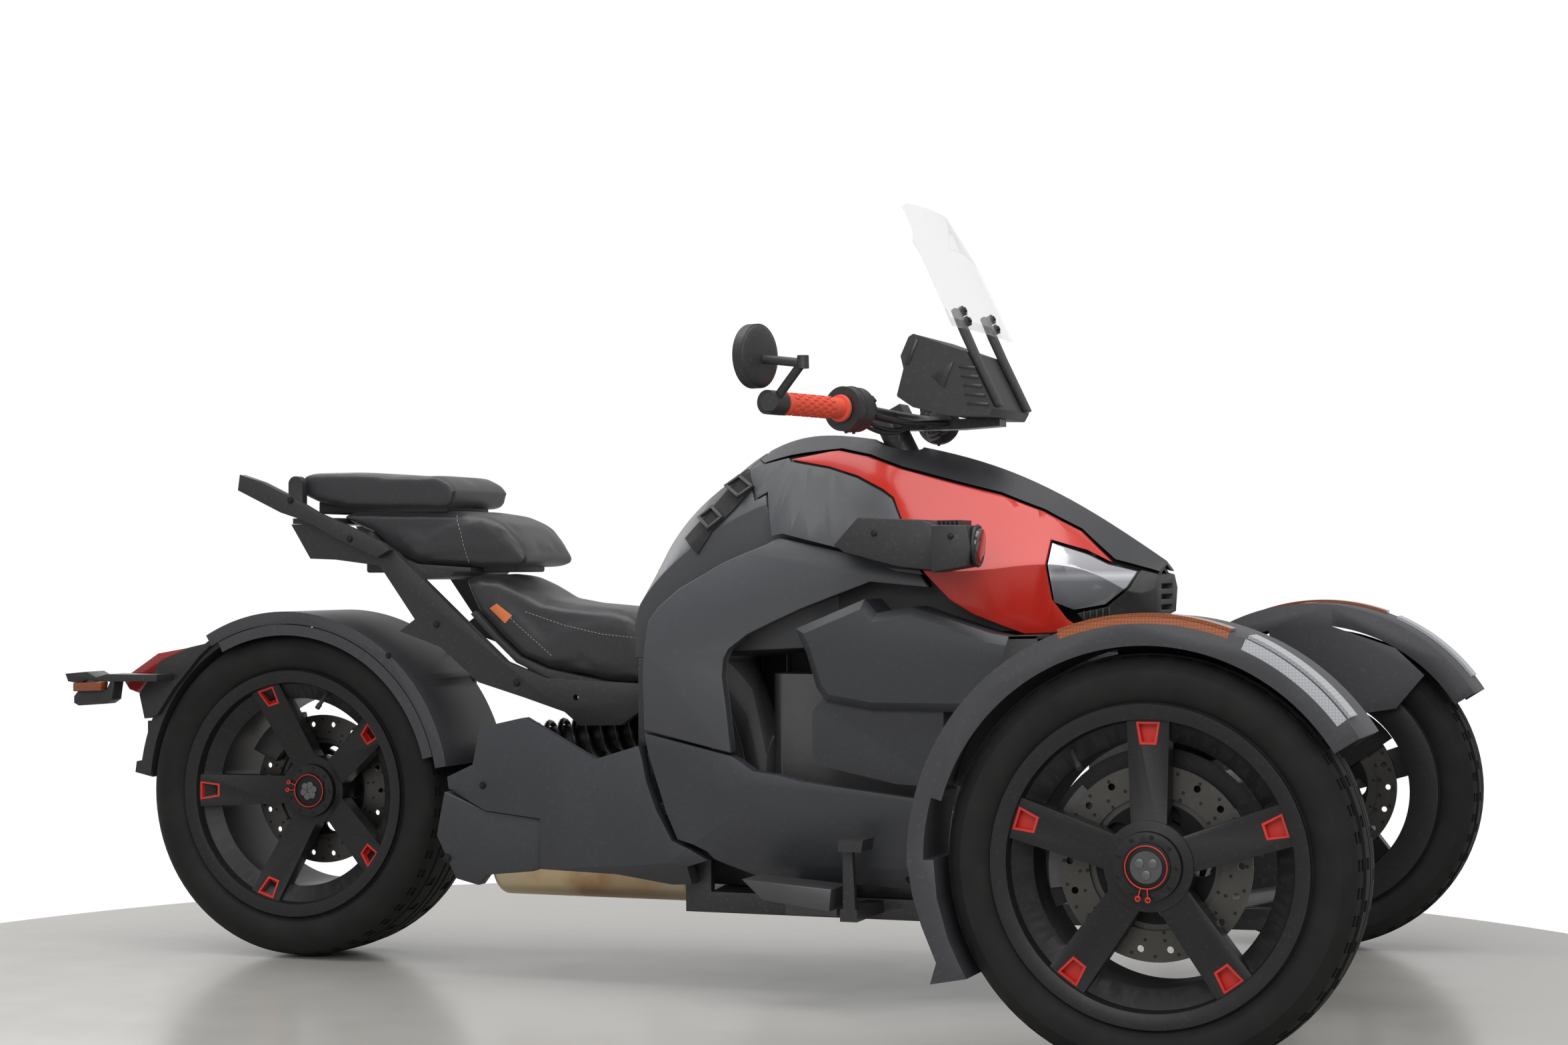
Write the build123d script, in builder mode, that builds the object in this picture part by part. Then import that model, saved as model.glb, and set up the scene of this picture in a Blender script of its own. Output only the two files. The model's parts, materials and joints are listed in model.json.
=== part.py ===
from build123d import *
from math import cos, radians, sin
import os

# Places along the vehicle, from the middle of its box
front_axle_x = 929.5
wheelbase = 1709
half_track = 680

# Front wheels
front_tyre_radius = 290
front_tyre_width = 147
front_rim_lip_radius = 220
front_rim_half_width = 70
front_hub_recess = 8
front_spoke_first_deg = 90

# Rear wheel
rear_tyre_radius = 295.5
rear_tyre_width = 208
rear_rim_lip_radius = 220
rear_rim_half_width = 97
rear_hub_recess = 78
rear_spoke_first_deg = 36

# Rims, shared
spoke_count = 5
spoke_width_lip = 60
spoke_width_hub = 46
spoke_thickness = 26
barrel_radius = 176
bead_radius = 205
barrel_wall = 7
flange_width = 8
hub_radius = 62
nut_radius = 47
window_outer_width = 32
window_inner_width = 20
window_outer_radius = 205
window_inner_radius = 167
tyre_gap = 0.4

# Brake discs
disc_radius = 135
disc_inner_radius = 92
disc_thickness = 5
carrier_radius = 100
disc_hole_radius = 5
disc_hole_count = 18
front_disc_depth = 52
rear_disc_depth = 120

# Knuckles and steering
kingpin_y = 596
kingpin_z = 290
stub_axle_radius = 22
running_gap = 0.4
steering_arm_length = 105
arm_drop = 30
steering_arm_thickness = 14
tie_rod_radius = 9
tie_eye_radius = 16
tie_eye_height = 20
tie_gap = 0.6
tie_rod_z = kingpin_z - arm_drop - steering_arm_thickness / 2 - tie_gap - tie_eye_height / 2
steering_head_x = -575
steering_head_z = 876
steering_rake_deg = 27
stem_radius = 24
stem_gap = 10

# Body shell
shell_wall = 6
seat_gap = 0.3

# Steering frame: local Z is the steering axis, local X points ahead
steering_plane = Plane(
    origin=(front_axle_x + steering_head_x, 0, steering_head_z),
    x_dir=(cos(radians(steering_rake_deg)), 0, sin(radians(steering_rake_deg))),
    z_dir=(-sin(radians(steering_rake_deg)), 0, cos(radians(steering_rake_deg))),
)

# Side view plane at the front axle, looking from the right side
side = Plane(origin=(front_axle_x, 0, 0), x_dir=(1, 0, 0), z_dir=(0, -1, 0))


def slab(points, inner, outer, radius=0):
    """Side view outline between two distances to the right of the centre plane."""
    with BuildPart() as block:
        with BuildSketch(side.offset(inner)) as face:
            with BuildLine():
                Polyline(*points, close=True)
            make_face()
            if radius:
                fillet(face.vertices(), radius)
        extrude(amount=outer - inner)
    return block.part


def shell_section(x, half_profile, inset):
    """Cross section of the body shell at one place along the vehicle."""
    plane = Plane(origin=(front_axle_x + x, 0, 0), x_dir=(0, 1, 0), z_dir=(1, 0, 0))
    right = [(-y, z) for y, z in half_profile]
    left = [(y, z) for y, z in reversed(half_profile) if y > 0]
    with BuildSketch(plane) as section:
        with BuildLine():
            Polyline(*right, *left, close=True)
        make_face()
        if inset:
            offset(amount=-inset, kind=Kind.INTERSECTION)
    return section.sketch


# Half cross sections of the upper body from the nose to the rear of the tank
nose_x = -135
body_stations = [
    (nose_x, [(0, 705), (52, 690), (80, 662), (66, 622), (0, 616)]),
    (-200, [(0, 749), (94, 704), (150, 676), (124, 606), (0, 596)]),
    (-290, [(0, 804), (104, 771), (188, 700), (172, 592), (0, 580)]),
    (-400, [(0, 856), (116, 815), (222, 690), (206, 588), (0, 576)]),
    (-520, [(0, 892), (122, 849), (236, 694), (222, 580), (0, 566)]),
    (-640, [(0, 914), (124, 884), (238, 704), (226, 572), (0, 556)]),
    (-760, [(0, 918), (122, 880), (230, 706), (226, 566), (0, 550)]),
    (-860, [(0, 874), (112, 836), (212, 700), (216, 560), (0, 544)]),
    (-950, [(0, 790), (96, 760), (186, 674), (204, 552), (0, 540)]),
    (-1004, [(0, 668), (84, 650), (160, 620), (192, 544), (0, 534)]),
]


def body_shell(inset):
    """Closed body form through the stations, inset from the outer skin."""
    sections = [shell_section(x, profile, inset) for x, profile in body_stations]
    with BuildPart() as form:
        for section in sections:
            add(section)
        loft(ruled=False)
    return form.part


body_outer = body_shell(0)
body_inner = body_shell(shell_wall)
body_core = body_shell(shell_wall + seat_gap)
body_clear = body_shell(-seat_gap)

# Hood over the whole width, down to the crease
hood_outline = [
    (-832, 960), (-820, 880), (-790, 872), (-740, 884), (-661, 895), (-610, 884), (-549, 862),
    (-455, 836), (-386, 818), (-315, 790), (-257, 758), (-200, 708), (-162, 696), (-100, 678),
    (-100, 960),
]
with BuildPart() as hood:
    add(body_outer)
    add(body_inner, mode=Mode.SUBTRACT)
    add(slab(hood_outline, -300, 300), mode=Mode.INTERSECT)
    with BuildSketch(steering_plane.offset(-80)):
        Circle(stem_radius + stem_gap)
    extrude(amount=160, mode=Mode.SUBTRACT)
hood.part.label = "hood"

# Red fairings below the crease
fairing_outline = [
    (-738, 876), (-661, 890), (-610, 879), (-549, 857), (-455, 831), (-386, 813), (-315, 785),
    (-257, 753), (-204, 704), (-238, 723), (-292, 740), (-289, 696), (-282, 645), (-261, 613),
    (-231, 590), (-266, 565), (-316, 587), (-357, 603), (-402, 622), (-436, 644), (-474, 686),
    (-533, 780), (-550, 810), (-570, 824), (-616, 847), (-667, 863),
]
belly_half_width = 110
belly_outline = [(-560, 500), (-215, 500), (-215, 650), (-560, 650)]
with BuildPart() as fairings:
    add(body_outer)
    add(body_inner, mode=Mode.SUBTRACT)
    add(slab(fairing_outline, -300, 300), mode=Mode.INTERSECT)
    add(slab(belly_outline, -belly_half_width, belly_half_width), mode=Mode.SUBTRACT)
fairings.part.label = "fairings"

# Upper side panels behind the fairings
side_panel_outline = [
    (-822, 878), (-790, 869), (-744, 879), (-738, 872), (-667, 859), (-617, 843), (-572, 820),
    (-553, 808), (-536, 779), (-478, 684), (-520, 690), (-619, 727), (-726, 752), (-745, 748),
    (-770, 822), (-789, 811), (-812, 850),
]
with BuildPart() as side_panels:
    add(body_outer)
    add(body_inner, mode=Mode.SUBTRACT)
    add(slab(side_panel_outline, -300, 300), mode=Mode.INTERSECT)
side_panels.part.label = "side_panels"

# Headlamps between hood, fairing and nose
lamp_outline = [
    (-288, 734), (-240, 717), (-205, 699), (-167, 688), (-173, 662), (-205, 636), (-250, 628),
    (-278, 640), (-285, 696),
]
with BuildPart() as headlamps:
    add(body_outer)
    add(body_shell(shell_wall * 3), mode=Mode.SUBTRACT)
    add(slab(lamp_outline, -300, 300), mode=Mode.INTERSECT)
headlamps.part.label = "headlamps"

# Nose piece with louvres, under the lamps
nose_outline = [
    (-100, 674), (-163, 690), (-169, 660), (-203, 632), (-246, 622), (-225, 594), (-225, 586),
    (-100, 586),
]
cowl_front_x = -292
louvre_pitch = 17
louvre_height = 8
louvre_depth = 15
louvre_width = 84
louvre_top_z = 664
with BuildPart() as nose:
    add(body_outer)
    add(slab(nose_outline, -300, 300), mode=Mode.INTERSECT)
    with Locations(*[(front_axle_x + nose_x, 0, louvre_top_z - i * louvre_pitch) for i in range(3)]):
        Box(louvre_depth * 2, louvre_width, louvre_height, mode=Mode.SUBTRACT)
    add(slab([(cowl_front_x + seat_gap, 602), (-220, 602), (-220, 660), (cowl_front_x + seat_gap, 660)], -60, 60))
nose.part.label = "nose"

# Tank with its hump behind the side panels, and its core under hood and panels
tank_half_width = 170
tank_bottom_z = 546
tank_front_x = -640
tank_outline = [
    (-1012, tank_bottom_z), (-1012, 700), (-980, 800), (-836, 930), (-826, 878), (-815, 848),
    (-792, 807), (-772, 817), (-748, 744), (-728, 748), (tank_front_x, 727),
    (tank_front_x, tank_bottom_z),
]
with BuildPart() as tank_hump:
    add(body_outer)
    add(slab(tank_outline, -tank_half_width, tank_half_width), mode=Mode.INTERSECT)
tank_skin = tank_hump.part
with BuildPart() as tank:
    add(body_core)
    add(slab([(-836, tank_bottom_z), (-836, 940), (tank_front_x, 940), (tank_front_x, tank_bottom_z)],
             -tank_half_width, tank_half_width), mode=Mode.INTERSECT)
    add(tank_skin)
tank.part.label = "tank"

# Engine size
engine_length = 400
engine_width = 340
engine_height = 360

# Outer flank that the lower panels are cut from
flank_section = [
    (0, 110), (205, 150), (250, 215), (264, 320), (246, 560), (214, 720), (180, 800), (0, 830),
]
flank_plan = [
    (-1360, 206), (-1280, 222), (-1100, 238), (-950, 246), (-780, 262), (-480, 268), (-300, 250),
    (-240, 225),
]


def flank_form(inset):
    """Right flank of the lower body, front section crossed with the plan."""
    with BuildPart() as form:
        with BuildSketch(Plane(origin=(front_axle_x - 1400, 0, 0), x_dir=(0, 1, 0), z_dir=(1, 0, 0))):
            with BuildLine():
                Polyline(*[(-y, z) for y, z in flank_section], close=True)
            make_face()
            if inset:
                offset(amount=-inset, kind=Kind.INTERSECTION)
        extrude(amount=1300)
        with BuildSketch(Plane(origin=(front_axle_x, 0, 0))):
            with BuildLine():
                Polyline(*[(x, -y + inset) for x, y in flank_plan], (-240, 0), (-1360, 0), close=True)
            make_face()
        extrude(amount=900, mode=Mode.INTERSECT)
    return form.part


flank_outer = flank_form(0)
panel_depth = 26
flank_inner = flank_form(panel_depth)
flank_seat = flank_form(panel_depth + seat_gap)
flank_clear = flank_form(-seat_gap)

# C-shaped side panel
c_outline = [
    (-956, 430), (-959, 521), (-953, 608), (-936, 632), (-902, 662), (-823, 707), (-754, 735),
    (-734, 746), (-621, 722), (-490, 690), (-470, 664), (-570, 673), (-624, 653), (-687, 629),
    (-727, 611), (-775, 588), (-806, 564), (-814, 548), (-816, 520), (-808, 470), (-797, 396),
]
with BuildPart() as c_panels:
    add(flank_outer)
    add(flank_inner, mode=Mode.SUBTRACT)
    add(slab(c_outline, 100, 300), mode=Mode.INTERSECT)
    mirror(about=Plane.XZ)
c_panels.part.label = "c_panels"

# Sill panel below it, forward to the front wheels
sill_outline = [
    (-955, 425), (-947, 389), (-930, 340), (-914, 295), (-894, 253), (-866, 246), (-841, 235),
    (-829, 223), (-760, 197), (-564, 186), (-470, 183), (-420, 220), (-410, 300), (-430, 324),
    (-571, 340), (-676, 353), (-715, 362), (-759, 368), (-783, 384), (-796, 391),
]
with BuildPart() as sill_panels:
    add(flank_outer)
    add(flank_inner, mode=Mode.SUBTRACT)
    add(slab(sill_outline, 100, 300), mode=Mode.INTERSECT)
    mirror(about=Plane.XZ)
sill_panels.part.label = "sill_panels"

# Engine side cover with its bulge and the duct in front of it
cover_upper = [(-686, 598), (-568, 646), (-548, 624), (-491, 634), (-360, 592), (-275, 578),
               (-275, 532), (-344, 490), (-392, 468), (-555, 468), (-633, 481), (-650, 503),
               (-668, 560)]
cover_lower = [(-640, 490), (-660, 466), (-660, 392), (-645, 378), (-520, 352), (-440, 348), (-440, 490)]
cover_inner_y = engine_width / 2 + seat_gap
cover_bulge_y = 268
cover_box_y = 248
with BuildPart() as engine_covers:
    add(slab(cover_upper, cover_inner_y, cover_bulge_y))
    add(slab(cover_lower, cover_inner_y, cover_box_y))
    chamfer(engine_covers.faces().sort_by(Axis.Y)[0].edges(), 14)
    mirror(about=Plane.XZ)
engine_covers.part.label = "engine_covers"

# Rear lower cover between the sill and the rear wheel
rear_cover_outline = [
    (-1268, 428), (-1184, 446), (-1050, 379), (-966, 404), (-959, 380), (-952, 345), (-934, 300),
    (-905, 250), (-874, 238), (-842, 220), (-880, 208), (-880, 177), (-915, 175), (-973, 184),
    (-1011, 190), (-1150, 194), (-1150, 278), (-1258, 288), (-1333, 323), (-1336, 342), (-1282, 365),
]
with BuildPart() as rear_covers:
    add(flank_outer)
    add(flank_inner, mode=Mode.SUBTRACT)
    add(slab(rear_cover_outline, 176, 300), mode=Mode.INTERSECT)
    mirror(about=Plane.XZ)
rear_covers.part.label = "rear_covers"

# Muffler under the engine with its side shield
rail_inner_y = 172
rail_outer_y = 190
muffler_radius = 56
muffler_x = -1093
muffler_length = 370
muffler_y = -112
muffler_z = 192
with BuildPart() as muffler:
    with Locations(Pos(front_axle_x + muffler_x, muffler_y, muffler_z) * Rot(0, 90, 0)):
        Cylinder(muffler_radius, muffler_length)
    fillet(muffler.edges(), 18)
    add(slab([(-1025, 236), (-995, 236), (-995, 272), (-1025, 272)], 125, rail_inner_y - seat_gap))
muffler.part.label = "muffler"

shield_outline = [
    (-1351, 243), (-1336, 318), (-1258, 287.3), (-1150.6, 277.4), (-1150.6, 200), (-1170, 188),
    (-1257, 179), (-1271, 161), (-1314, 171),
]
with BuildPart() as muffler_shield:
    add(slab(shield_outline, 196, 222))
muffler_shield.part.label = "muffler_shield"

# Frame: belly tray, front bulkhead, steering column, rear upright
bulkhead_half_width = 110
frame_rear_x = -990
frame_top_z = tank_bottom_z - seat_gap
boss_radius = 12
boss_places = [(-880, 480), (-880, 300), (-650, 262), (-470, 262), (-1090, 300)]
tie_slot = 44
column_radius = 30
column_top = 50
tray_z = 128
tray_height = 34
with BuildPart() as boss_form:
    with BuildSketch(side.offset(rail_outer_y - 1)):
        with Locations(*boss_places):
            Circle(boss_radius)
    extrude(amount=100)
    add(flank_seat, mode=Mode.INTERSECT)
bosses = boss_form.part
with BuildPart() as frame:
    with BuildSketch(Plane(origin=(front_axle_x, 0, tray_z))):
        with BuildLine():
            Polyline(
                (-905, -rail_outer_y), (-430, -rail_outer_y), (-180, -150), (100, -120), (100, 120),
                (-180, 150), (-430, rail_outer_y), (-905, rail_outer_y), close=True,
            )
        make_face()
    extrude(amount=tray_height)
    with BuildSketch(side.offset(-bulkhead_half_width)):
        with BuildLine():
            Polyline(
                (-180, tray_z + 10), (100, tray_z + 10), (130, 330), (90, 450), (-120, 560),
                (-240, 560), (-240, 300), close=True,
            )
        make_face()
    extrude(amount=2 * bulkhead_half_width)
    with BuildSketch(side.offset(-150)):
        with BuildLine():
            Polyline(
                (-845, tray_z + 10), (-800, tray_z + 10), (-860, 400), (-910, frame_top_z), (frame_rear_x, frame_top_z),
                (frame_rear_x, 290), (-930, 250), close=True,
            )
        make_face()
    extrude(amount=200)
    with Locations((front_axle_x - steering_arm_length, 0, tie_rod_z)):
        Box(tie_slot, 2 * bulkhead_half_width, tie_slot, mode=Mode.SUBTRACT)
    with BuildSketch(side.offset(-40)):
        with BuildLine():
            Polyline((-200, 480), (-200, 560), (-400, 612), (-450, 650), (-470, 600), (-420, 552),
                     (-360, 530), close=True)
        make_face()
    extrude(amount=80)
    with BuildSketch(steering_plane.offset(-280)):
        Circle(column_radius)
    extrude(amount=280 - column_top)
    add(slab([(frame_rear_x, 400), (frame_rear_x, frame_top_z), (-905, frame_top_z), (-905, 400)],
             -rail_outer_y, rail_outer_y))
    for near, far in ((rail_inner_y, rail_outer_y), (-rail_outer_y, -rail_inner_y)):
        add(slab([(-905, tray_z), (-905, frame_top_z), (-860, frame_top_z), (-860, tray_z)], near, far))
        add(slab([(-905, 240), (-430, 240), (-430, 282), (-905, 282)], near, far))
        add(slab([(-904, 230), (-1120, 286), (-1120, 318), (-904, 282)], near, far))
    add(bosses)
    add(mirror(bosses, about=Plane.XZ, mode=Mode.PRIVATE))
frame.part.label = "frame"

# Inner cowl round the column, which carries hood, fairings, lamps and nose
cowl_half_width = 169
with BuildPart() as inner_cowl:
    add(body_core)
    add(slab([(tank_front_x + seat_gap, 500), (tank_front_x + seat_gap, 960), (cowl_front_x, 960),
              (cowl_front_x, 500)], -cowl_half_width, cowl_half_width), mode=Mode.INTERSECT)
    add(frame.part, mode=Mode.SUBTRACT)
    with BuildSketch(steering_plane.offset(-column_top - 4)):
        Circle(stem_radius + stem_gap)
    extrude(amount=160, mode=Mode.SUBTRACT)
inner_cowl.part.label = "inner_cowl"

# Engine, one plain block
with BuildPart() as engine:
    with Locations((front_axle_x - 560, 0, tray_z + tray_height + engine_height / 2)):
        Box(engine_length, engine_width, engine_height)
    fillet(engine.edges().filter_by(Axis.Z), 20)
engine.part.label = "engine"

# Seat frame rising to the rack, with an accessory bolt hole in each rail
accessory_bore_x = -1134
accessory_bore_z = 476
accessory_bore_radius = 5
subframe_outline = [
    (frame_rear_x - seat_gap, 470), (-1050, 430), (-1126, 428), (-1155, 451), (-1229, 474), (-1319, 500),
    (-1393, 561), (-1473, 588), (-1443, 609), (-1512, 703), (-1600, 714), (-1651, 716),
    (-1690, 777.4), (-1592, 777.4), (-1541, 759), (-1483, 727), (-1435, 684), (-1343, 602), (-1268, 536),
    (-1194, 508), (frame_rear_x - seat_gap, 499.6),
]
with BuildPart() as subframe:
    add(slab(subframe_outline, 106.3, 126))
    mirror(about=Plane.XZ)
    add(slab([(frame_rear_x - seat_gap, 499.6), (-1012, 499.6), (-1076, 501.6), (-1145, 513.6),
              (-1197, 523.6), (-1249, 544.6), (-1290, 579.4), (-1333, 623.6), (-1342, 618),
              (-1296, 572), (-1254, 534), (-1199, 510), (-1145, 500), (-1076, 488),
              (frame_rear_x - seat_gap, 486)], -110, 110))
    add(slab([(-1342, 698.6), (-1449, 705.6), (-1500, 725.6), (-1541, 763.6), (-1546, 756),
              (-1504, 698), (-1450, 678), (-1382, 684),
              (-1372, 692), (-1342, 692)], -110, 110))
    with BuildSketch(side.offset(-130)):
        with Locations((accessory_bore_x, accessory_bore_z)):
            Circle(accessory_bore_radius)
    extrude(amount=260, mode=Mode.SUBTRACT)

subframe.part.label = "subframe"

# Grab rail rack behind the seats, with the lugs and pins of the backrest
backrest_pin_x = -1679
backrest_pin_z = 849
backrest_half_width = 112
pin_radius = 6
pin_gap = 0.1
lug_radius = 14
lug_gap = 0.6
rack_bolt_spacing_x = 50
rack_bolt_spacing_y = 120
rack_bolt_radius = 4.2
rack_outline = [
    (-1787, 839), (-1783, 867), (-1739, 853), (-1687, 829), (-1628, 797), (-1541, 762),
    (-1495, 741), (-1483, 730), (-1507, 717), (-1590, 753), (-1647, 782), (-1699, 798),
]
with BuildPart() as rack:
    add(slab(rack_outline, 126, 146))
    mirror(about=Plane.XZ)
    with Locations((front_axle_x - 1640, 0, 783)):
        Box(90, 256, 10)
    with BuildSketch(Plane(origin=(front_axle_x - 1640, 0, 760))):
        with GridLocations(rack_bolt_spacing_x, rack_bolt_spacing_y, 2, 2):
            Circle(rack_bolt_radius)
    extrude(amount=60, mode=Mode.SUBTRACT)
    for near, far in ((backrest_half_width + lug_gap, 130), (-130, -backrest_half_width - lug_gap)):
        add(slab([(-1693, 818), (-1665, 812), (-1665, 849), (-1693, 849)], near, far))
        with BuildSketch(side.offset(near)):
            with Locations((backrest_pin_x, backrest_pin_z)):
                Circle(lug_radius)
        extrude(amount=far - near)
    for near in (-130, 90):
        with BuildSketch(side.offset(near)):
            with Locations((backrest_pin_x, backrest_pin_z)):
                Circle(pin_radius)
        extrude(amount=40)
rack.part.label = "rack"

# Seats
rider_seat_outline = [
    (-1366, 690), (-1300, 684), (-1253, 664), (-1215, 643), (-1164, 634), (-1075, 626),
    (-1039, 616), (-1020, 600), (-1012, 560), (-1012, 500), (-1076, 502), (-1145, 514),
    (-1197, 524), (-1249, 545), (-1290, 580), (-1335, 626),
]
with BuildPart() as rider_seat:
    add(slab(rider_seat_outline, -106, 106))
    fillet(rider_seat.faces().sort_by(Axis.Y)[0].edges(), 12)
    fillet(rider_seat.faces().sort_by(Axis.Y)[-1].edges(), 12)
rider_seat.part.label = "rider_seat"

pillion_outline = [
    (-1620, 800), (-1440, 800), (-1364, 797), (-1319, 790), (-1277, 772), (-1255, 745),
    (-1234, 712), (-1240, 701), (-1342, 699), (-1449, 706), (-1500, 726), (-1541, 764),
]
with BuildPart() as pillion_seat:
    add(slab(pillion_outline, -106, 106))
    fillet(pillion_seat.faces().sort_by(Axis.Y)[0].edges(), 6)
    fillet(pillion_seat.faces().sort_by(Axis.Y)[-1].edges(), 6)
pillion_seat.part.label = "pillion_seat"

# Backrest, folded flat over the passenger seat
backrest_outline = [
    (-1690, 840), (-1684, 862), (-1674, 870), (-1583, 870), (-1442, 860), (-1407, 860),
    (-1381, 849), (-1371, 834), (-1377, 812), (-1385, 804), (-1586, 806), (-1653, 818),
    (-1685, 832),
]
with BuildPart() as backrest:
    add(slab(backrest_outline, -112, 112, 3))
    with BuildSketch(side.offset(-113)):
        with Locations((backrest_pin_x, backrest_pin_z)):
            Circle(pin_radius + pin_gap)
    extrude(amount=226, mode=Mode.SUBTRACT)
backrest.part.label = "backrest"

# Rear wheel parts and front wheel parts
def rim_solid(radius_lip, half_width, hub_recess, first_deg, disc_depth):
    """Rim about the local Z axis, its outer face towards +Z."""
    face_z = half_width
    hub_z = face_z - hub_recess
    disc_top_z = face_z - disc_depth + disc_thickness
    with BuildPart() as rim:
        with BuildSketch(Plane.XZ):
            with BuildLine():
                Polyline(
                    (barrel_radius - barrel_wall, -half_width + 4), (radius_lip, -half_width),
                    (radius_lip, -half_width + flange_width),
                    (bead_radius - 1, -half_width + flange_width),
                    (bead_radius - 1, -half_width + 34), (barrel_radius, -half_width + 50),
                    (barrel_radius, half_width - 50), (bead_radius - 1, half_width - 34),
                    (bead_radius - 1, half_width - flange_width), (radius_lip, half_width - flange_width),
                    (radius_lip, half_width), (bead_radius - 6, half_width - 5),
                    (bead_radius - 9, half_width - 22), (barrel_radius - barrel_wall, half_width - 40),
                    close=True,
                )
            make_face()
        revolve(axis=Axis.Z)
        with BuildSketch(Plane.XY.offset(face_z - disc_depth + seat_gap)):
            Circle(hub_radius)
        extrude(amount=disc_depth - hub_recess - seat_gap)
    spoke_root_z = hub_z - 4
    spoke_tip_z = face_z - 12
    with BuildPart() as spoke:
        with BuildSketch(Plane.XZ.offset(-spoke_width_lip)):
            with BuildLine():
                Polyline(
                    (hub_radius - 14, spoke_root_z), (bead_radius - 4, spoke_tip_z),
                    (bead_radius - 4, spoke_tip_z - spoke_thickness),
                    (hub_radius - 14, disc_top_z + running_gap), close=True,
                )
            make_face()
        extrude(amount=2 * spoke_width_lip)
        with BuildSketch(Plane.XY.offset(-half_width)):
            with BuildLine():
                Polyline(
                    (0, -spoke_width_hub / 2), (radius_lip, -spoke_width_lip / 2),
                    (radius_lip, spoke_width_lip / 2), (0, spoke_width_hub / 2), close=True,
                )
            make_face()
            with BuildLine():
                Polyline(
                    (window_inner_radius, -window_inner_width / 2),
                    (window_outer_radius - 10, -window_outer_width / 2),
                    (window_outer_radius - 10, window_outer_width / 2),
                    (window_inner_radius, window_inner_width / 2), close=True,
                )
            make_face(mode=Mode.SUBTRACT)
        extrude(amount=2 * half_width, mode=Mode.INTERSECT)
    with BuildPart() as wheel:
        add(rim.part)
        with PolarLocations(0, spoke_count, start_angle=first_deg):
            add(spoke.part)
        with BuildSketch(Plane.XY.offset(hub_z)):
            Circle(nut_radius)
        extrude(amount=10)
        with BuildSketch(Plane.XY.offset(-half_width)):
            Circle(stub_axle_radius + running_gap)
        extrude(amount=2 * half_width + 40, mode=Mode.SUBTRACT)
    return wheel.part


def tyre_solid(radius, width, half_width):
    """Tyre about the local Z axis, seated on the rim."""
    bead_half = half_width - flange_width - tyre_gap
    flange_top = front_rim_lip_radius + 2
    with BuildPart() as tyre:
        with BuildSketch(Plane.XZ):
            with BuildLine():
                Line((bead_radius, -bead_half), (flange_top, -bead_half))
                ThreePointArc(
                    (flange_top, -bead_half), (flange_top + 26, -width / 2), (radius - 18, -width / 2 + 8),
                )
                ThreePointArc(
                    (radius - 18, -width / 2 + 8), (radius - 7, -width / 2 + 18),
                    (radius - 4, -width / 2 + 34),
                )
                ThreePointArc(
                    (radius - 4, -width / 2 + 34), (radius, 0), (radius - 4, width / 2 - 34),
                )
                ThreePointArc(
                    (radius - 4, width / 2 - 34), (radius - 7, width / 2 - 18),
                    (radius - 18, width / 2 - 8),
                )
                ThreePointArc(
                    (radius - 18, width / 2 - 8), (flange_top + 26, width / 2), (flange_top, bead_half),
                )
                Line((flange_top, bead_half), (bead_radius, bead_half))
                Line((bead_radius, bead_half), (bead_radius, -bead_half))
            make_face()
        revolve(axis=Axis.Z)
    return tyre.part


def disc_solid(depth_z):
    """Drilled brake disc with its carrier, about the local Z axis."""
    with BuildPart() as disc:
        with BuildSketch(Plane.XY.offset(depth_z)):
            Circle(disc_radius)
            Circle(disc_inner_radius, mode=Mode.SUBTRACT)
            with PolarLocations(disc_radius - 16, disc_hole_count):
                Circle(disc_hole_radius, mode=Mode.SUBTRACT)
        extrude(amount=disc_thickness)
        with BuildSketch(Plane.XY.offset(depth_z - 6)):
            Circle(carrier_radius)
            Circle(stub_axle_radius + 14, mode=Mode.SUBTRACT)
            with PolarLocations(64, 5):
                Circle(17, mode=Mode.SUBTRACT)
        extrude(amount=6)
    return disc.part


def placed(solid, x, y, z):
    """Wheel part turned so that its outer face looks to the right."""
    return Pos(front_axle_x + x, y, z) * Rot(90, 0, 0) * solid


def placed_left(solid, x, y, z):
    """Wheel part turned so that its outer face looks to the left."""
    return mirror(placed(solid, x, -y, z), about=Plane.XZ)


front_rim = rim_solid(
    front_rim_lip_radius, front_rim_half_width, front_hub_recess, front_spoke_first_deg, front_disc_depth
)
front_tyre = tyre_solid(front_tyre_radius, front_tyre_width, front_rim_half_width)
front_disc = disc_solid(front_rim_half_width - front_disc_depth)
rear_rim = rim_solid(
    rear_rim_lip_radius, rear_rim_half_width, rear_hub_recess, rear_spoke_first_deg, rear_disc_depth
)
rear_tyre = tyre_solid(rear_tyre_radius, rear_tyre_width, rear_rim_half_width)
rear_disc = disc_solid(rear_rim_half_width - rear_disc_depth)



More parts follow.
